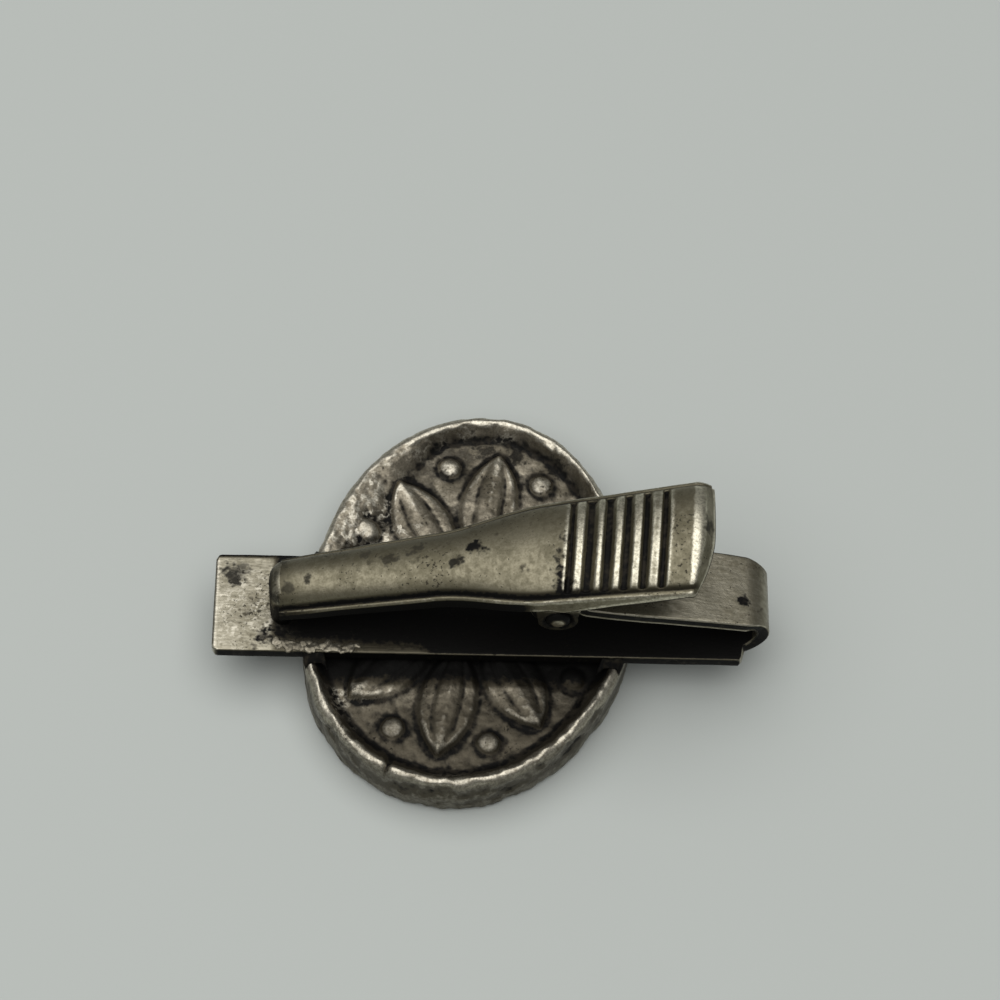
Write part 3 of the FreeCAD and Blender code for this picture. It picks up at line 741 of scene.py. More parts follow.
# %% Strip section
STRIP_ROUND = 0.16
STRIP_POINTS = 30
LIP_POINTS = 6
BURR = 0.06                 # step left by the shear along an edge


def strip_loop(half, thickness, corner, across):
    """A rounded section with a fine step below each upper edge, over the top and back below."""
    bend = np.linspace(math.pi, math.pi / 2, LIP_POINTS)
    lip = np.stack([corner * np.cos(bend) - half + corner,
                    corner * np.sin(bend) + thickness / 2 - corner], -1)
    flat = np.linspace(-half + corner, half - corner, across)[1:-1]
    step = np.array([[-half + BURR, lip[0, 1] - BURR], [-half + BURR, lip[0, 1] - BURR / 2]])
    upper = np.concatenate([step, lip, np.stack([flat, np.full_like(flat, thickness / 2)], -1),
                            lip[::-1] * (-1, 1), step[::-1] * (-1, 1)])
    lower = np.concatenate([np.repeat(lip[:1] * (1, 0) - (0, BURR), 2, 0), lip * (1, -1),
                            np.stack([flat, np.full_like(flat, -thickness / 2)], -1),
                            lip[::-1] * (-1, -1), np.repeat(lip[:1] * (-1, 0) - (0, BURR), 2, 0)])
    return np.concatenate([upper, lower[::-1]])


def swept_strip(points, ways, halves, thickness, corner, across):
    """A tube whose sections stand across a line, each with its own half width."""
    loops = []
    for point, way, half in zip(points, ways, halves):
        loop = strip_loop(half, thickness, corner, across)
        x = point[0] - math.sin(way) * loop[:, 1]
        z = point[1] + math.cos(way) * loop[:, 1]
        loops.append(np.stack([x, loop[:, 0], z], -1))
    return tube(loops)


one_section = strip_loop(BAR_WIDTH / 2, STRIP_THICKNESS, STRIP_ROUND, STRIP_POINTS)
print("strip section of", len(one_section), "points")

# %% Bar mesh
BAR_SHOULDER = 17.3
TONGUE_WIDTH = 6.0
TONGUE_TAPER = 9.0
FOLD_WIDTH = 5.4
FOLD_WAIST = 0.35           # the strip draws in by this at the crest of the fold
CORNER_ROUND = 0.4

along_bar = bar_points[:, 0]
into_corner = np.clip(CORNER_ROUND - (along_bar + BAR_NOSE_END), 0, CORNER_ROUND)
corner_cut = CORNER_ROUND - np.sqrt(CORNER_ROUND ** 2 - into_corner ** 2)
past_shoulder = ramp(along_bar, BAR_SHOULDER - 0.2, BAR_SHOULDER + 0.1)
low_half = BAR_WIDTH / 2 + (FOLD_WIDTH - BAR_WIDTH) / 2 * past_shoulder - corner_cut
taper = [BAR_FOLD - TONGUE_TAPER, BAR_FOLD]
arm_half = np.interp(along_bar, taper, [TONGUE_WIDTH / 2, FOLD_WIDTH / 2])
on_arm = bar_points[:, 1] > BAR_MID + FOLD_RADIUS
bar_halves = np.where(on_arm, arm_half, low_half)
bar_halves -= FOLD_WAIST * ramp(along_bar, BAR_FOLD + 0.2, BAR_FOLD + FOLD_MID)
bar_skin = swept_strip(bar_points, bar_ways, bar_halves, STRIP_THICKNESS, STRIP_ROUND, STRIP_POINTS)
bar = make_piece("folded_bar", bar_skin)
roughen(bar, size=0.03, scale=0.5)
print("bar is", (2 * bar_halves.max()).round(2), "mm wide")

# %% Bar finish
BAR_TOP = SEAT_Z + STRIP_THICKNESS
# Painted shade on the bar: under the lever and the arm, on its sides, edges and underside; a painted
# highlight on the arm's near edge.
LEVER_SHADE = (-15.4, -14.4)            # along the bar, where the lever's shade begins and where it is full
PALE_EDGE = -2.5            # nearer than this a paler strip is left, which narrows along the bar
PALE_START = -14.6
PALE_LEAN = 0.04
PALE_END = (-5.5, -1.5)
PALE_RUN_OUT = 1.8
PALE_SHADE = 0.46
FULL_SHADE = 0.9
SIDE_SHADE = 0.8
FAR_SHADE = 0.7
FAR_ROUND_SHADE = 0.85      # painted shade on the rounded edges of the strip, on the far side and on the near side, and a painted highlight on the arm's near edge
NEAR_ROUND_SHADE = 0.3
ARM_ROUND_HIGHLIGHT = -0.8
# The third is painted shadow beside the nose; the others are stains.
BAR_STAINS_AND_SHADOWS = [((-17.8, 2.0, 4.65), 0.9, 0.9), ((-17.2, 2.5, 4.65), 0.6, 0.6),
              ((-15.5, -2.75, 4.65), 1.05, 1.0), ((17.1, -0.8, 7.8), 0.6, 1.0)]
# A painted highlight on the bar's end.
BAR_GLINTS = [((-16.5, -0.8, 4.65), 3.8, 0.65)]


def bar_painted_light(points, normals):
    """Painted shade, with tarnish, under the lever and the arm but for a strip by the jaw's near edge;
    painted shade on the sides, edges and underside; a painted highlight on the arm's near edge.
    """
    x, y, z = points.T
    limit = PALE_EDGE - PALE_LEAN * (x - PALE_START) - PALE_RUN_OUT * ramp(x, *PALE_END)
    upward = ramp(normals[:, 2], 0.2, 0.7)
    below = ramp(x, *LEVER_SHADE) * (z < BAR_TOP + FOLD_RADIUS / 2) * upward
    covered = below * (PALE_SHADE + (FULL_SHADE - PALE_SHADE) * ramp(y - limit, -0.6, 0.4))
    sides = SIDE_SHADE * ramp(np.abs(normals[:, 1]), 0.7, 0.95)
    far_edge = FAR_SHADE * ramp(y, BAR_WIDTH / 2 - 0.45, BAR_WIDTH / 2 - 0.15)
    dark = np.maximum.reduce([covered, sides, far_edge, ramp(-normals[:, 2], 0.2, 0.6)])
    rounded = (normals[:, 2] > 0.35) & (np.abs(normals[:, 1]) > 0.35)
    near_tone = np.where(z > BAR_TOP + FOLD_RADIUS, ARM_ROUND_HIGHLIGHT, NEAR_ROUND_SHADE)
    return np.where(rounded, np.where(y > 0, FAR_ROUND_SHADE, near_tone), dark)


mark_wear(bar, rounds=5, depth=0.1, painted_light=bar_painted_light)
bar_plate = aged_plate(
    "bar_plate", (0.31, 0.285, 0.22, 1), (0.17, 0.153, 0.108, 1), (0.62, 0.58, 0.48, 1),
    rough=0.36, bump=0.8, mottle=(0.4, 0.66), pits=0.69, grime=(-1.0, -0.4), shine=(0.5, 1.4),
    grain=(1.2, 6.0, 3.0), turn=-48.0, stains=BAR_STAINS_AND_SHADOWS, polished=BAR_GLINTS)
finish(bar, bar_plate, "frame", "bar_plate", "bar")

# %% [markdown]
# The lever is pressed from half millimetre sheet: a crowned jaw with a crease and a narrow flange along
# each side, a wide thumb pad with six grooves, and a tail that is turned down. Its section is a hat, drawn
# at each step along the lever from a few widths and heights. The corners of a pressing are never sharp,
# so each section is smoothed before it is used. Boolean unions then weld the toothed nose and the two ears
# to the skin, which keeps its fine grid.

# %% Lever widths and heights
NOSE_REACH = 19.55          # reaches are measured along the lever, and rises up, from the pivot
NECK_REACH = 8.6
SHOULDER_REACH = 0.6
PAD_REACH = 0.72
TAIL_REACH = 8.75
NOSE_HALF = 1.76
NECK_HALF = 2.2
SHOULDER_HALF = 3.46
TAIL_HALF = 3.85
CROWN_RISE = 4.08
JAW_SLOPE = math.tan(math.radians(16.3))
PAD_SLOPE = math.tan(math.radians(14.5))
CROWN = 1.15
NOSE_CROWN = 1.45
SKIRT_DEPTH = 1.0
BACK_SKIRT = 1.4
TAIL_SKIRT = 0.35


def crease_half(x):
    """Half the width between the creases at x."""
    if x < -NECK_REACH:
        return np.interp(x, [-NOSE_REACH, -NECK_REACH], [NOSE_HALF, NECK_HALF])
    if x < -SHOULDER_REACH:
        return NECK_HALF + (SHOULDER_HALF - NECK_HALF) * ramp(x, -NECK_REACH, -SHOULDER_REACH)
    return np.interp(x, [-SHOULDER_REACH, TAIL_REACH], [SHOULDER_HALF, TAIL_HALF])


def crown(x):
    """How far the crown stands over the creases."""
    return np.interp(x, [-NOSE_REACH, -NECK_REACH], [NOSE_CROWN, CROWN])


def crown_height(x):
    return CROWN_RISE + min(x, PAD_REACH) * JAW_SLOPE + max(x - PAD_REACH, 0) * PAD_SLOPE


def skirt_depth(x):
    jaw = SKIRT_DEPTH - crown(x) + CROWN
    jaw += (BACK_SKIRT - SKIRT_DEPTH) * ramp(x, -PAD_REACH, PAD_REACH)
    return jaw if x < PAD_REACH else np.interp(x, [PAD_REACH, TAIL_REACH], [BACK_SKIRT, TAIL_SKIRT])


print("tail's crown is", round(PIVOT[2] + crown_height(TAIL_REACH), 2), "mm over the table")

# %% Lever section
SHEET = 0.5
LEDGE_WIDTH = 0.4
LEDGE_DROP = 0.2
SKIRT_FLARE = 0.1
VALLEY = 0.08
VALLEY_OUT = 0.05
FULLNESS = 0.7              # 0 for a plain arc across the crown, 1 for half an oval with upright sides
INNER_SIDE = 0.8            # the sheet is thinned at its crease, to these shares across and down
INNER_DROP = 0.7
ARCH_POINTS = 40
SECTION_POINTS = 141
SECTION_ROUNDS = 2


def even_line(corners):
    """The same number of points along any bent line, evenly spaced and a little rounded."""
    run = np.concatenate([[0], np.cumsum(np.linalg.norm(np.diff(corners, axis=0), axis=1))])
    even = np.linspace(0, run[-1], SECTION_POINTS)
    line = np.stack([np.interp(even, run, corners[:, axis]) for axis in (0, 1)], -1)
    for _ in range(SECTION_ROUNDS):
        line[1:-1] = (line[:-2] + 2 * line[1:-1] + line[2:]) / 4
    return line


def crown_arch(half, rise, top):
    """Half of the crown, from its middle to the crease."""
    sweep = np.linspace(0, math.pi / 2, ARCH_POINTS)
    bow = (half ** 2 + rise ** 2) / (2 * rise)
    y = half * np.sin(sweep)
    arc = np.sqrt(bow ** 2 - y ** 2) - bow + rise
    return np.stack([y, top - rise + FULLNESS * rise * np.cos(sweep) + (1 - FULLNESS) * arc], -1)


def hat(x):
    """The section at x from the pivot, across and up: the outside, then the inside of the sheet."""
    half, rise, top = crease_half(x), crown(x), crown_height(x)
    crease = top - rise
    foot = crease - skirt_depth(x)
    outside = np.concatenate([crown_arch(half, rise, top), [
        (half + VALLEY_OUT, crease - VALLEY), (half + LEDGE_WIDTH * 0.6, crease - VALLEY / 2),
        (half + LEDGE_WIDTH, crease - LEDGE_DROP), (half + LEDGE_WIDTH + SKIRT_FLARE, foot)]])
    inner_half = half - SHEET * INNER_SIDE
    bottom = max(crease - SHEET * INNER_DROP, foot)
    inside = np.concatenate([crown_arch(inner_half, top - SHEET - bottom, top - SHEET), [
        (half + LEDGE_WIDTH - SHEET, max(crease - LEDGE_DROP - SHEET * INNER_DROP, foot)),
        (half + LEDGE_WIDTH + SKIRT_FLARE - SHEET, foot)]])
    return [even_line(np.concatenate([side[::-1] * (-1, 1), side[1:]])) for side in (outside, inside)]


print("hat section at the pad is", round(2 * (crease_half(TAIL_REACH) + LEDGE_WIDTH), 2), "mm wide")

# %% Thumb pad
PAD_SKEW = math.tan(math.radians(4.0))
SKEW_START = -2.0
GROOVE_COUNT = 6
GROOVE_PITCH = 1.22
GROOVE_FLOOR = 0.2
GROOVE_MOUTH = 1.06
GROOVE_DEPTH = 0.38
GROOVE_END = 0.92           # the grooves run out from this share of the way to the crease
FIRST_GROOVE = 0.6          # widths of the first, second and last grooves, as shares
SECOND_GROOVE = 1.05
LAST_GROOVE = 0.65

groove_places = PAD_REACH + GROOVE_PITCH * np.arange(GROOVE_COUNT)


def pad_press(x, line):
    """Depth pressed into the outside at x: grooves that run out at the crease."""
    which = np.abs(groove_places - x).argmin()
    width = np.interp(which, [0, 1, GROOVE_COUNT - 1], [FIRST_GROOVE, SECOND_GROOVE, LAST_GROOVE])
    away = abs(groove_places[which] - x)
    groove = 1 - ramp(away, GROOVE_FLOOR / 2 * width, GROOVE_MOUTH / 2 * width)
    across = np.abs(line[:, 0]) / crease_half(x)
    return GROOVE_DEPTH * groove * (1 - ramp(across, GROOVE_END, 1.0))


def shell_loop(x):
    """Outside and inside of the sheet at one station, leaned across the pad with the grooves."""
    outside, inside = hat(x)
    outside[:, 1] -= pad_press(x, outside)
    slope = JAW_SLOPE if x < PAD_REACH else PAD_SLOPE
    loop = np.concatenate([outside, inside[::-1]])
    lean = loop[:, 0] * PAD_SKEW * ramp(x, SKEW_START, PAD_REACH)
    return np.stack([x + lean, loop[:, 0], loop[:, 1] + lean * slope], -1)


print("grooves at", groove_places.round(2), "mm behind the pivot")

# %% Lever shell
NOSE_ROUND = 0.75
JAW_STEP = 0.2
PAD_STATIONS = 110
TAIL_TURN = math.radians(65.0)
TAIL_BEND = 0.4             # the lip turns over this share of its length
TAIL_EDGE = 1.45
TAIL_FOOT = 0.2             # the lip reaches this far where the skirt ends
TAIL_SPREAD = 0.9           # and for each millimetre above, it may reach this much farther
TAIL_DROP = 0.85            # share of the height over the skirt's foot by which the lip comes down
TAIL_BOW = 0.9
FAR_BOW = 0.2
FAR_STRETCH = 1.8
TAIL_STEPS = 20

jaw_steps = np.arange(-NOSE_REACH + NOSE_ROUND, 0, JAW_STEP)
pad_steps = np.linspace(0, TAIL_REACH, PAD_STATIONS)
shell = [shell_loop(x) for x in np.concatenate([jaw_steps, pad_steps])]
bend = shell[-1]
over_foot = bend[:, 2] - bend[:, 2].min()
bow = np.where(bend[:, 1] < 0, TAIL_BOW, FAR_BOW)
within = (np.arange(len(bend)) >= SECTION_POINTS) * SHEET * math.sin(TAIL_TURN)
edge_reach = np.clip(TAIL_EDGE - bow * (bend[:, 1] / TAIL_HALF) ** 2 - within, 0, None)
stretch = 1 + (FAR_STRETCH - 1) * ramp(bend[:, 1], 0, TAIL_HALF)
edge_reach = np.minimum(edge_reach, (over_foot * TAIL_SPREAD + TAIL_FOOT) * stretch)
lip_turn = TAIL_TURN * ramp(np.linspace(0, 1, TAIL_STEPS), 0, TAIL_BEND)
lip_out = np.cumsum(np.cos(lip_turn))
lip_down = np.cumsum(np.sin(lip_turn))
for out, down in zip(lip_out / lip_out[-1], lip_down / lip_down[-1]):
    shell.append(np.stack([bend[:, 0] + edge_reach * out, bend[:, 1],
                           bend[:, 2] - over_foot * TAIL_DROP * down], -1))
print("lever shell of", len(shell), "stations")

# %% Lever nose
NOSE_PROUD = 0.01
NOSE_BOW = 0.3              # the front wall stands back by this at its two sides
NOSE_GAP = 0.1
NOSE_TUCK = 0.35            # the nose runs this far into the shell
NOSE_POINTS = 73
ROUND_POINTS = 9
TOP_SHARE = 0.7             # the rounded end draws in less at the top than at the sides
TOOTH_COUNT = 4
TOOTH_DEPTH = 0.5
TOOTH_SLANT = 0.2


def nose_loop(x, inset):
    """The front wall's outline: an arched top, and a foot cut into teeth."""
    start = -NOSE_REACH + NOSE_ROUND
    half = crease_half(start) + NOSE_PROUD - inset
    rise = crown(start) + NOSE_PROUD - inset * TOP_SHARE
    arch = crown_arch(half, rise, crown_height(x) + NOSE_PROUD - inset * TOP_SHARE)
    y = np.linspace(-half, half, NOSE_POINTS)
    set_back = NOSE_BOW * (y / NOSE_HALF) ** 2
    top = np.interp(np.abs(y), arch[:, 0], arch[:, 1]) + set_back * JAW_SLOPE
    foot = BAR_TOP + NOSE_GAP - PIVOT[2]
    pitch = 2 * half / TOOTH_COUNT
    from_notch = np.abs((y + half) / pitch - np.round((y + half) / pitch)) * pitch
    notched = np.abs(y) < half - pitch / 2
    bottom = foot + TOOTH_DEPTH * np.clip(1 - from_notch / TOOTH_SLANT, 0, 1) * notched
    loop = np.concatenate([np.stack([y, top], -1), np.stack([y, bottom], -1)[::-1]])
    return np.column_stack([x + np.concatenate([set_back, set_back[::-1]]), loop])


nose = []
for turn in np.linspace(0, math.pi / 2, ROUND_POINTS):
    nose.append(nose_loop(-NOSE_REACH + NOSE_ROUND * (1 - math.cos(turn)), NOSE_ROUND * (1 - math.sin(turn))))
nose.append(nose_loop(-NOSE_REACH + NOSE_ROUND + NOSE_TUCK, SHEET / 4))
print("nose of", len(nose), "loops and", TOOTH_COUNT, "teeth")

# %% Lever ears and weld
PIN_RADIUS = 0.85
EAR_RADIUS = 1.35
EAR_SPREAD = 1.25
EAR_INNER = 3.25
EAR_OUTER = 3.75
EAR_ROWS = 10
SINK_DEPTH = 0.2
SINK_SPREAD = 0.28
SPOKES = np.linspace(0, 2 * math.pi, 64, endpoint=False)


def ear_ring(side):
    """An ear round the pin's hole: each spoke has a loop through the sheet, with a dimple outside."""
    slope = math.atan(JAW_SLOPE)
    root = crown_height(0) - crown(0) - SKIRT_DEPTH / 2
    lean = EAR_RADIUS * (EAR_SPREAD - 1) / root
    sides = np.repeat([EAR_INNER, EAR_OUTER, EAR_OUTER - SINK_DEPTH], [EAR_ROWS, EAR_ROWS, 1])
    ring = []
    for spoke in SPOKES:
        way = np.array([math.cos(spoke), math.sin(spoke)])
        reach_to = EAR_RADIUS
        if way[1] > 0:
            flank = EAR_RADIUS / max(abs(way[0]) - lean * way[1], 1e-6)
            reach_to = min(flank, root / way[1])
        outward = np.linspace(PIN_RADIUS, reach_to, EAR_ROWS)
        inward = np.linspace(reach_to, PIN_RADIUS + SINK_SPREAD, EAR_ROWS)
        radii = np.concatenate([outward, inward, [PIN_RADIUS]])
        x = radii * (way[0] * math.cos(slope) - way[1] * math.sin(slope) * (way[1] < 0))
        z = radii * (way[0] * math.sin(slope) + way[1] * (math.cos(slope) if way[1] < 0 else 1))
        ring.append(np.stack([x, side * sides, z], -1))
    return (np.array(ring), True, True)


def about_pivot(patches):
    return [(grid + PIVOT, rows, columns) for grid, rows, columns in patches]


lever = make_piece("sprung_lever", about_pivot(tube(shell)))
unite(lever, [make_piece("toothed_nose", about_pivot(tube(nose)))]
      + [make_piece("pierced_ear", about_pivot([ear_ring(side)])) for side in (-1, 1)])
roughen(lever, size=0.03, scale=0.45)
print("lever welded,", len(lever.data.polygons), "faces")

# %% Lever finish
# Painted shade on the skirt, the flange, the dimples, the ears, the nose, the creases and the far side, and a
# painted highlight along the tail's bend.
SKIRT_SHADE = 0.95
FLANGE_SHADE = 0.16
FLANGE_NOSE_SHADE = 0.5     # added to the flange beside the nose
DIMPLE_SHADE = 0.9
EAR_SHADE = 0.58
NOSE_SHADE = 0.36
TIP_SHADE = 0.25            # added to the nose at its tip
VALLEY_SHADE = 0.95         # the crease on the near side, and on the far side
FAR_VALLEY_SHADE = 0.6
PAD_VALLEY_LOSS = 0.45
FAR_SIDE_SHADE = 0.26
BEND_BAND = 0.24            # width of the painted highlight along the tail's bend
LEVER_STAINS = [((-1.26, 0.46, 12.3), 0.75, 1.0), ((-2.5, -0.5, 11.9), 0.6, 0.9),
                ((-7.0, 0.4, 10.6), 0.7, 0.7), ((-5.4, 0.7, 11.0), 0.7, 0.7),
                ((-8.6, 0.9, 10.0), 0.6, 0.6), ((-12.5, -0.5, 9.0), 0.35, 0.8),
                ((-14.8, 0.3, 8.4), 0.5, 0.7), ((-14.9, -1.3, 7.7), 0.6, 0.9), ((-14.2, 1.0, 8.4), 0.6, 0.6),
                ((-13.8, -0.9, 8.5), 0.5, 0.6), ((4.5, -2.2, 13.7), 0.85, 1.0), ((4.8, 0.4, 13.9), 0.65, 0.9),
                ((4.4, -1.0, 13.9), 0.8, 0.9), ((4.7, -2.9, 13.4), 0.8, 1.0), ((14.0, 0.5, 16.0), 0.75, 0.8)]


def lever_painted_light(points, normals):
    """Painted shade on the jaw's skirt and flange, the ears, the nose, the creases, the far side and all that
    looks down, and a painted highlight along the tail's bend.
    """
    x, y, z = (points - PIVOT).T
    from_tip = x + NOSE_REACH
    crease = np.array([crown_height(at) - crown(at) for at in x])
    half = np.array([crease_half(at) for at in x])
    drop = crease - LEDGE_DROP - z
    skirt = SKIRT_SHADE * ramp(drop, -0.06, 0.12) * (1 - ramp(x, -3.0, -1.0))
    by_nose = FLANGE_SHADE + FLANGE_NOSE_SHADE * (1 - ramp(from_tip, 0.8, 4.5))
    flange = by_nose * ramp(drop, -0.2, -0.1)
    dimple = DIMPLE_SHADE * (1 - ramp(np.hypot(x, z), 0.95, 1.2)) * (np.abs(y) > EAR_INNER)
    ear = EAR_SHADE * (1 - ramp(z, 0.9, 1.6)) * (np.abs(x) < 2.5)
    nose_end = NOSE_SHADE * (1 - ramp(from_tip, 0.5, 2.4))
    nose_end += TIP_SHADE * (1 - ramp(from_tip, 0.05, 0.4))
    valley_width = np.where(np.abs(y) < half, 0.42, 0.2)
    valley = np.exp(-(np.hypot(np.abs(y) - half, z - crease) / valley_width) ** 2)
    valley *= np.where(y < 0, VALLEY_SHADE, FAR_VALLEY_SHADE)
    valley *= 1 - PAD_VALLEY_LOSS * ramp(x, 0.0, 6.0)
    inside = ramp(-normals[:, 2], 0.15, 0.5)
    far_side = FAR_SIDE_SHADE * ramp(y / half, 0.0, 0.8) * (1 - ramp(x, -4.0, 0.0))
    dark = np.maximum.reduce([skirt, flange, dimple, ear, nose_end, valley, inside, far_side])
    from_bend = x - y * PAD_SKEW - TAIL_REACH - BEND_BAND / 2
    painted_highlight = np.exp(-(from_bend / BEND_BAND) ** 2) * (z > crease + 0.25)
    return np.where(painted_highlight > dark, -painted_highlight, dark)


mark_wear(lever, rounds=24, depth=0.09, painted_light=lever_painted_light)
lever_plate = aged_plate(
    "lever_plate", (0.245, 0.222, 0.157, 1), (0.145, 0.13, 0.087, 1), (0.68, 0.64, 0.51, 1),
    mottle=(0.39, 0.62), blots=0.64, grime=(-0.95, -0.1), shine=(0.4, 1.2), stains=LEVER_STAINS)
finish(lever, lever_plate, "lever", "lever_plate", "lever")

# %% [markdown]
# The rivet is a short wire whose ends are hammered into low domes. A lathe is the natural way: one outline,
# turned about the hinge.

# %% Rivet
PIN_PROUD = 0.3
DOME_POINTS = 9
HEAD_SHADE_RING = (0.3, 0.62)    # from the pin's axis, where the grime and painted shade begin and where they are full

dome = np.linspace(0, math.pi / 2, DOME_POINTS)
end_radius = PIN_RADIUS * np.sin(dome)
end_place = EAR_OUTER - SINK_DEPTH + (PIN_PROUD + SINK_DEPTH) * np.cos(dome)
near_end = np.stack([end_radius, -end_place], -1)
far_end = np.stack([end_radius, end_place], -1)
outline = np.concatenate([near_end, far_end[::-1]])
rivet_points = np.array([[PIVOT + (r * math.cos(a), y, r * math.sin(a)) for a in SPOKES] for r, y in outline])
rivet = make_piece("pivot_rivet", [(rivet_points, False, True)])
roughen(rivet, size=0.04, scale=1.4)


def rivet_grime_and_shade(points, normals):
    """Grime and painted shade sit round each head, and the crown of the head is left plain."""
    x, _, z = (points - PIVOT).T
    return ramp(np.hypot(x, z), *HEAD_SHADE_RING)


mark_wear(rivet, rounds=4, depth=0.1, painted_light=rivet_grime_and_shade)
rivet_metal = aged_plate(
    "rivet_metal", (0.42, 0.385, 0.3, 1), (0.2, 0.18, 0.13, 1), (0.75, 0.71, 0.6, 1), rough=0.34)
finish(rivet, rivet_metal, "lever", "pin_metal", "pivot_pin")

# %% [markdown]
# The return spring is a folded leaf between the arm and the pad, which closes when the pad goes down. It is
# the same swept strip as the bar, only thinner.

# %% Leaf path
SPRING_THICKNESS = 0.3
SPRING_WIDTH = 3.0
SPRING_BEND = 0.45
SPRING_FOOT = 4.6
SPRING_START = 3.0
SPRING_SHORT = 1.6
SPRING_GAP = 0.08
SPRING_STEP = 0.12

arm_way = math.radians(180 - ARM_RISE)
arm = np.array([math.cos(arm_way), math.sin(arm_way)])
over = np.array([arm[1], -arm[0]])
hinge = PIVOT[[0, 2]]
bend_mid = SPRING_BEND + SPRING_THICKNESS / 2
bed = hinge - arm * SPRING_START + over * (STRIP_THICKNESS + SPRING_THICKNESS) / 2
tip = TAIL_REACH - SPRING_SHORT
hollow = (crease_half(tip) ** 2 + CROWN ** 2) / (2 * CROWN) - SHEET
droop = hollow - math.sqrt(hollow ** 2 - (SPRING_WIDTH / 2) ** 2)
away = hinge + (tip, crown_height(tip) - SHEET - droop - SPRING_GAP) - (bed + over * bend_mid)
outside = SPRING_BEND + SPRING_THICKNESS
span = np.linalg.norm(away)
leaf_rise = math.degrees(math.atan2(away[1], away[0]) - math.asin(outside / span))
leaf_moves = [(SPRING_FOOT, 0), (bend_mid, leaf_rise - 180 + ARM_RISE),
              (math.sqrt(span ** 2 - outside ** 2), 0)]
leaf_points, leaf_ways = follow(bed - arm * SPRING_FOOT, 180 - ARM_RISE, leaf_moves, SPRING_STEP)
print("leaf rises at", round(leaf_rise, 1), "degrees")

# %% Leaf mesh
SPRING_ROUND = 0.08
SPRING_POINTS = 12

leaf_halves = np.full(len(leaf_points), SPRING_WIDTH / 2)
leaf_skin = swept_strip(leaf_points, leaf_ways, leaf_halves, SPRING_THICKNESS, SPRING_ROUND, SPRING_POINTS)
leaf = make_piece("return_leaf", leaf_skin)
mark_wear(leaf, rounds=4, depth=0.03)
leaf_steel = aged_plate("spring_steel", (0.22, 0.2, 0.16, 1), (0.1, 0.088, 0.066, 1), (0.5, 0.47, 0.4, 1))
leaf.data.materials.append(leaf_steel)
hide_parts("return_spring")
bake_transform(leaf)

# %% [markdown]
# Solder fills the corners between the bar and the rim that it crosses. The CAD fillets are straight, and the
# real ones are dull and lumpy, so a copy of that mesh is merged, remeshed finely and dented.

# %% Solder fillets
SOLDER_SHADE = 0.72

solder = placed("solder_fillets", frame["nodes"]["solder"].data.copy())
work = bmesh.new()
work.from_mesh(solder.data)
bmesh.ops.remove_doubles(work, verts=work.verts, dist=WELD)
work.to_mesh(solder.data)
work.free()
fuse(solder, voxel=0.05, rounds=40)
roughen(solder, size=0.12, scale=1.1)


def solder_painted_shade(points, normals):
    """Painted shade all over the fillets, for the shade of the bar."""
    return np.full(len(points), SOLDER_SHADE)


mark_wear(solder, rounds=8, depth=0.06, painted_light=solder_painted_shade)
solder_grey = aged_plate("solder_grey", (0.27, 0.245, 0.19, 1), (0.12, 0.106, 0.078, 1), (0.6, 0.56, 0.47, 1))
finish(solder, solder_grey, "frame", "solder_metal", "solder")

# %% [markdown]
# Where the bar was soldered, a crust of small grey beads is left along its near edge, beside the jaw. Beads
# that follow a line are work for Geometry Nodes: points on the line are pushed about at random, each gets
# a ball of random size, and the balls are then fused into one crust.

# %% Solder residue tree
BEAD_SHAPE = (1.6, 1.0, 0.5)


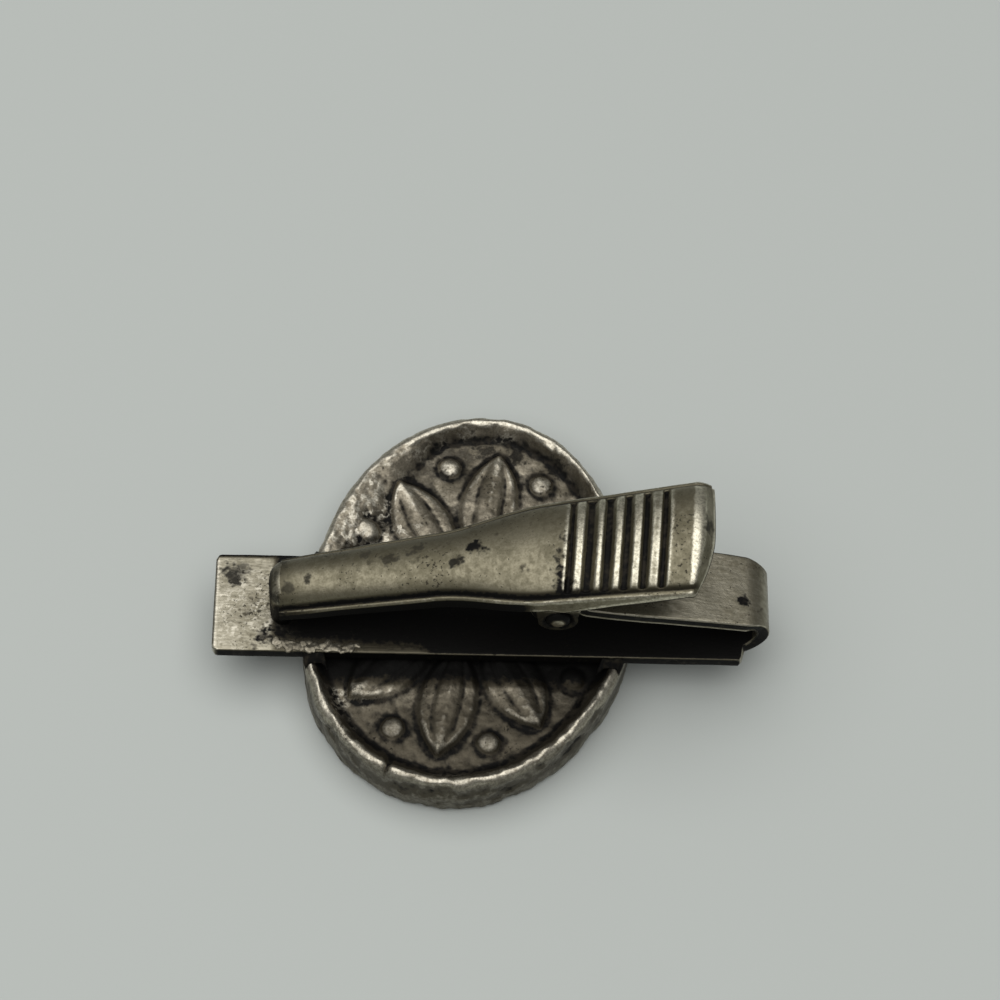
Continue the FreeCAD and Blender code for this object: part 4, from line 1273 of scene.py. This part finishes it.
def residue_tree(material):
    """The tree of nodes, and the keys of its inputs."""
    tree = bpy.data.node_groups.new("residue_along_an_edge", "GeometryNodeTree")
    kinds = {"Start": "NodeSocketVector", "End": "NodeSocketVector", "Spread": "NodeSocketVector",
             "Beads": "NodeSocketInt", "Smallest": "NodeSocketFloat", "Largest": "NodeSocketFloat",
             "Seed": "NodeSocketInt"}
    keys = {name: tree.interface.new_socket(name, in_out="INPUT", socket_type=kind).identifier
            for name, kind in kinds.items()}
    tree.interface.new_socket("Geometry", in_out="OUTPUT", socket_type="NodeSocketGeometry")
    nodes = Nodes(tree)
    group = tree.nodes.new("NodeGroupInput")
    given = {name: Wire(nodes, group.outputs[name]) for name in kinds}
    line = nodes.add("GeometryNodeCurvePrimitiveLine", None, {"Start": given["Start"], "End": given["End"]})
    points = nodes.add("GeometryNodeResampleCurve", None, {"Curve": line, "Count": given["Beads"]})
    push = nodes.add("FunctionNodeRandomValue", {"data_type": "FLOAT_VECTOR"},
                     {0: (-1, -1, -1), 1: (1, 1, 1), "Seed": given["Seed"]}, 0)
    offset = nodes.add("ShaderNodeVectorMath", {"operation": "MULTIPLY"}, {0: push, 1: given["Spread"]})
    pushed = nodes.add("GeometryNodeSetPosition", None, {"Geometry": points, "Offset": offset})
    ball = nodes.add("GeometryNodeMeshIcoSphere", None, {"Radius": 1.0, "Subdivisions": 2})
    size = nodes.add("FunctionNodeRandomValue", {"data_type": "FLOAT"},
                     {2: given["Smallest"], 3: given["Largest"], "Seed": given["Seed"] + 1}, 1)
    flat = nodes.add("ShaderNodeVectorMath", {"operation": "SCALE"}, {0: BEAD_SHAPE, "Scale": size})
    turn = nodes.add("FunctionNodeRandomValue", {"data_type": "FLOAT_VECTOR"},
                     {0: (0, 0, 0), 1: (0, 0, math.pi), "Seed": given["Seed"] + 2}, 0)
    beads = nodes.add("GeometryNodeInstanceOnPoints", None,
                      {"Points": pushed, "Instance": ball, "Rotation": turn, "Scale": flat})
    whole = nodes.add("GeometryNodeRealizeInstances", None, {"Geometry": beads})
    painted = nodes.add("GeometryNodeSetMaterial", None, {"Geometry": whole, "Material": material})
    nodes.add("NodeGroupOutput", None, {"Geometry": painted})
    return tree, keys


tree, keys = residue_tree(solder_grey)
print("residue tree has inputs", ", ".join(keys))

# %% Solder residue
RESIDUE = {"Start": (-14.7 * MM, -3.2 * MM, 4.64 * MM), "End": (-9.4 * MM, -3.42 * MM, 4.64 * MM),
           "Spread": (0.5 * MM, 0.3 * MM, 0.0), "Beads": 64, "Smallest": 0.08 * MM, "Largest": 0.3 * MM,
           "Seed": 11}

residue = placed("solder_residue", bpy.data.meshes.new("solder_residue"))
scatter = residue.modifiers.new("residue", "NODES")
scatter.node_group = tree
for name, value in RESIDUE.items():
    scatter[keys[name]] = value
settle(residue)
fuse(residue, voxel=0.045, rounds=3)
roughen(residue, size=0.06, scale=2.5)
mark_wear(residue, rounds=8, depth=0.15)
finish(residue, solder_grey, "frame", "solder_metal")
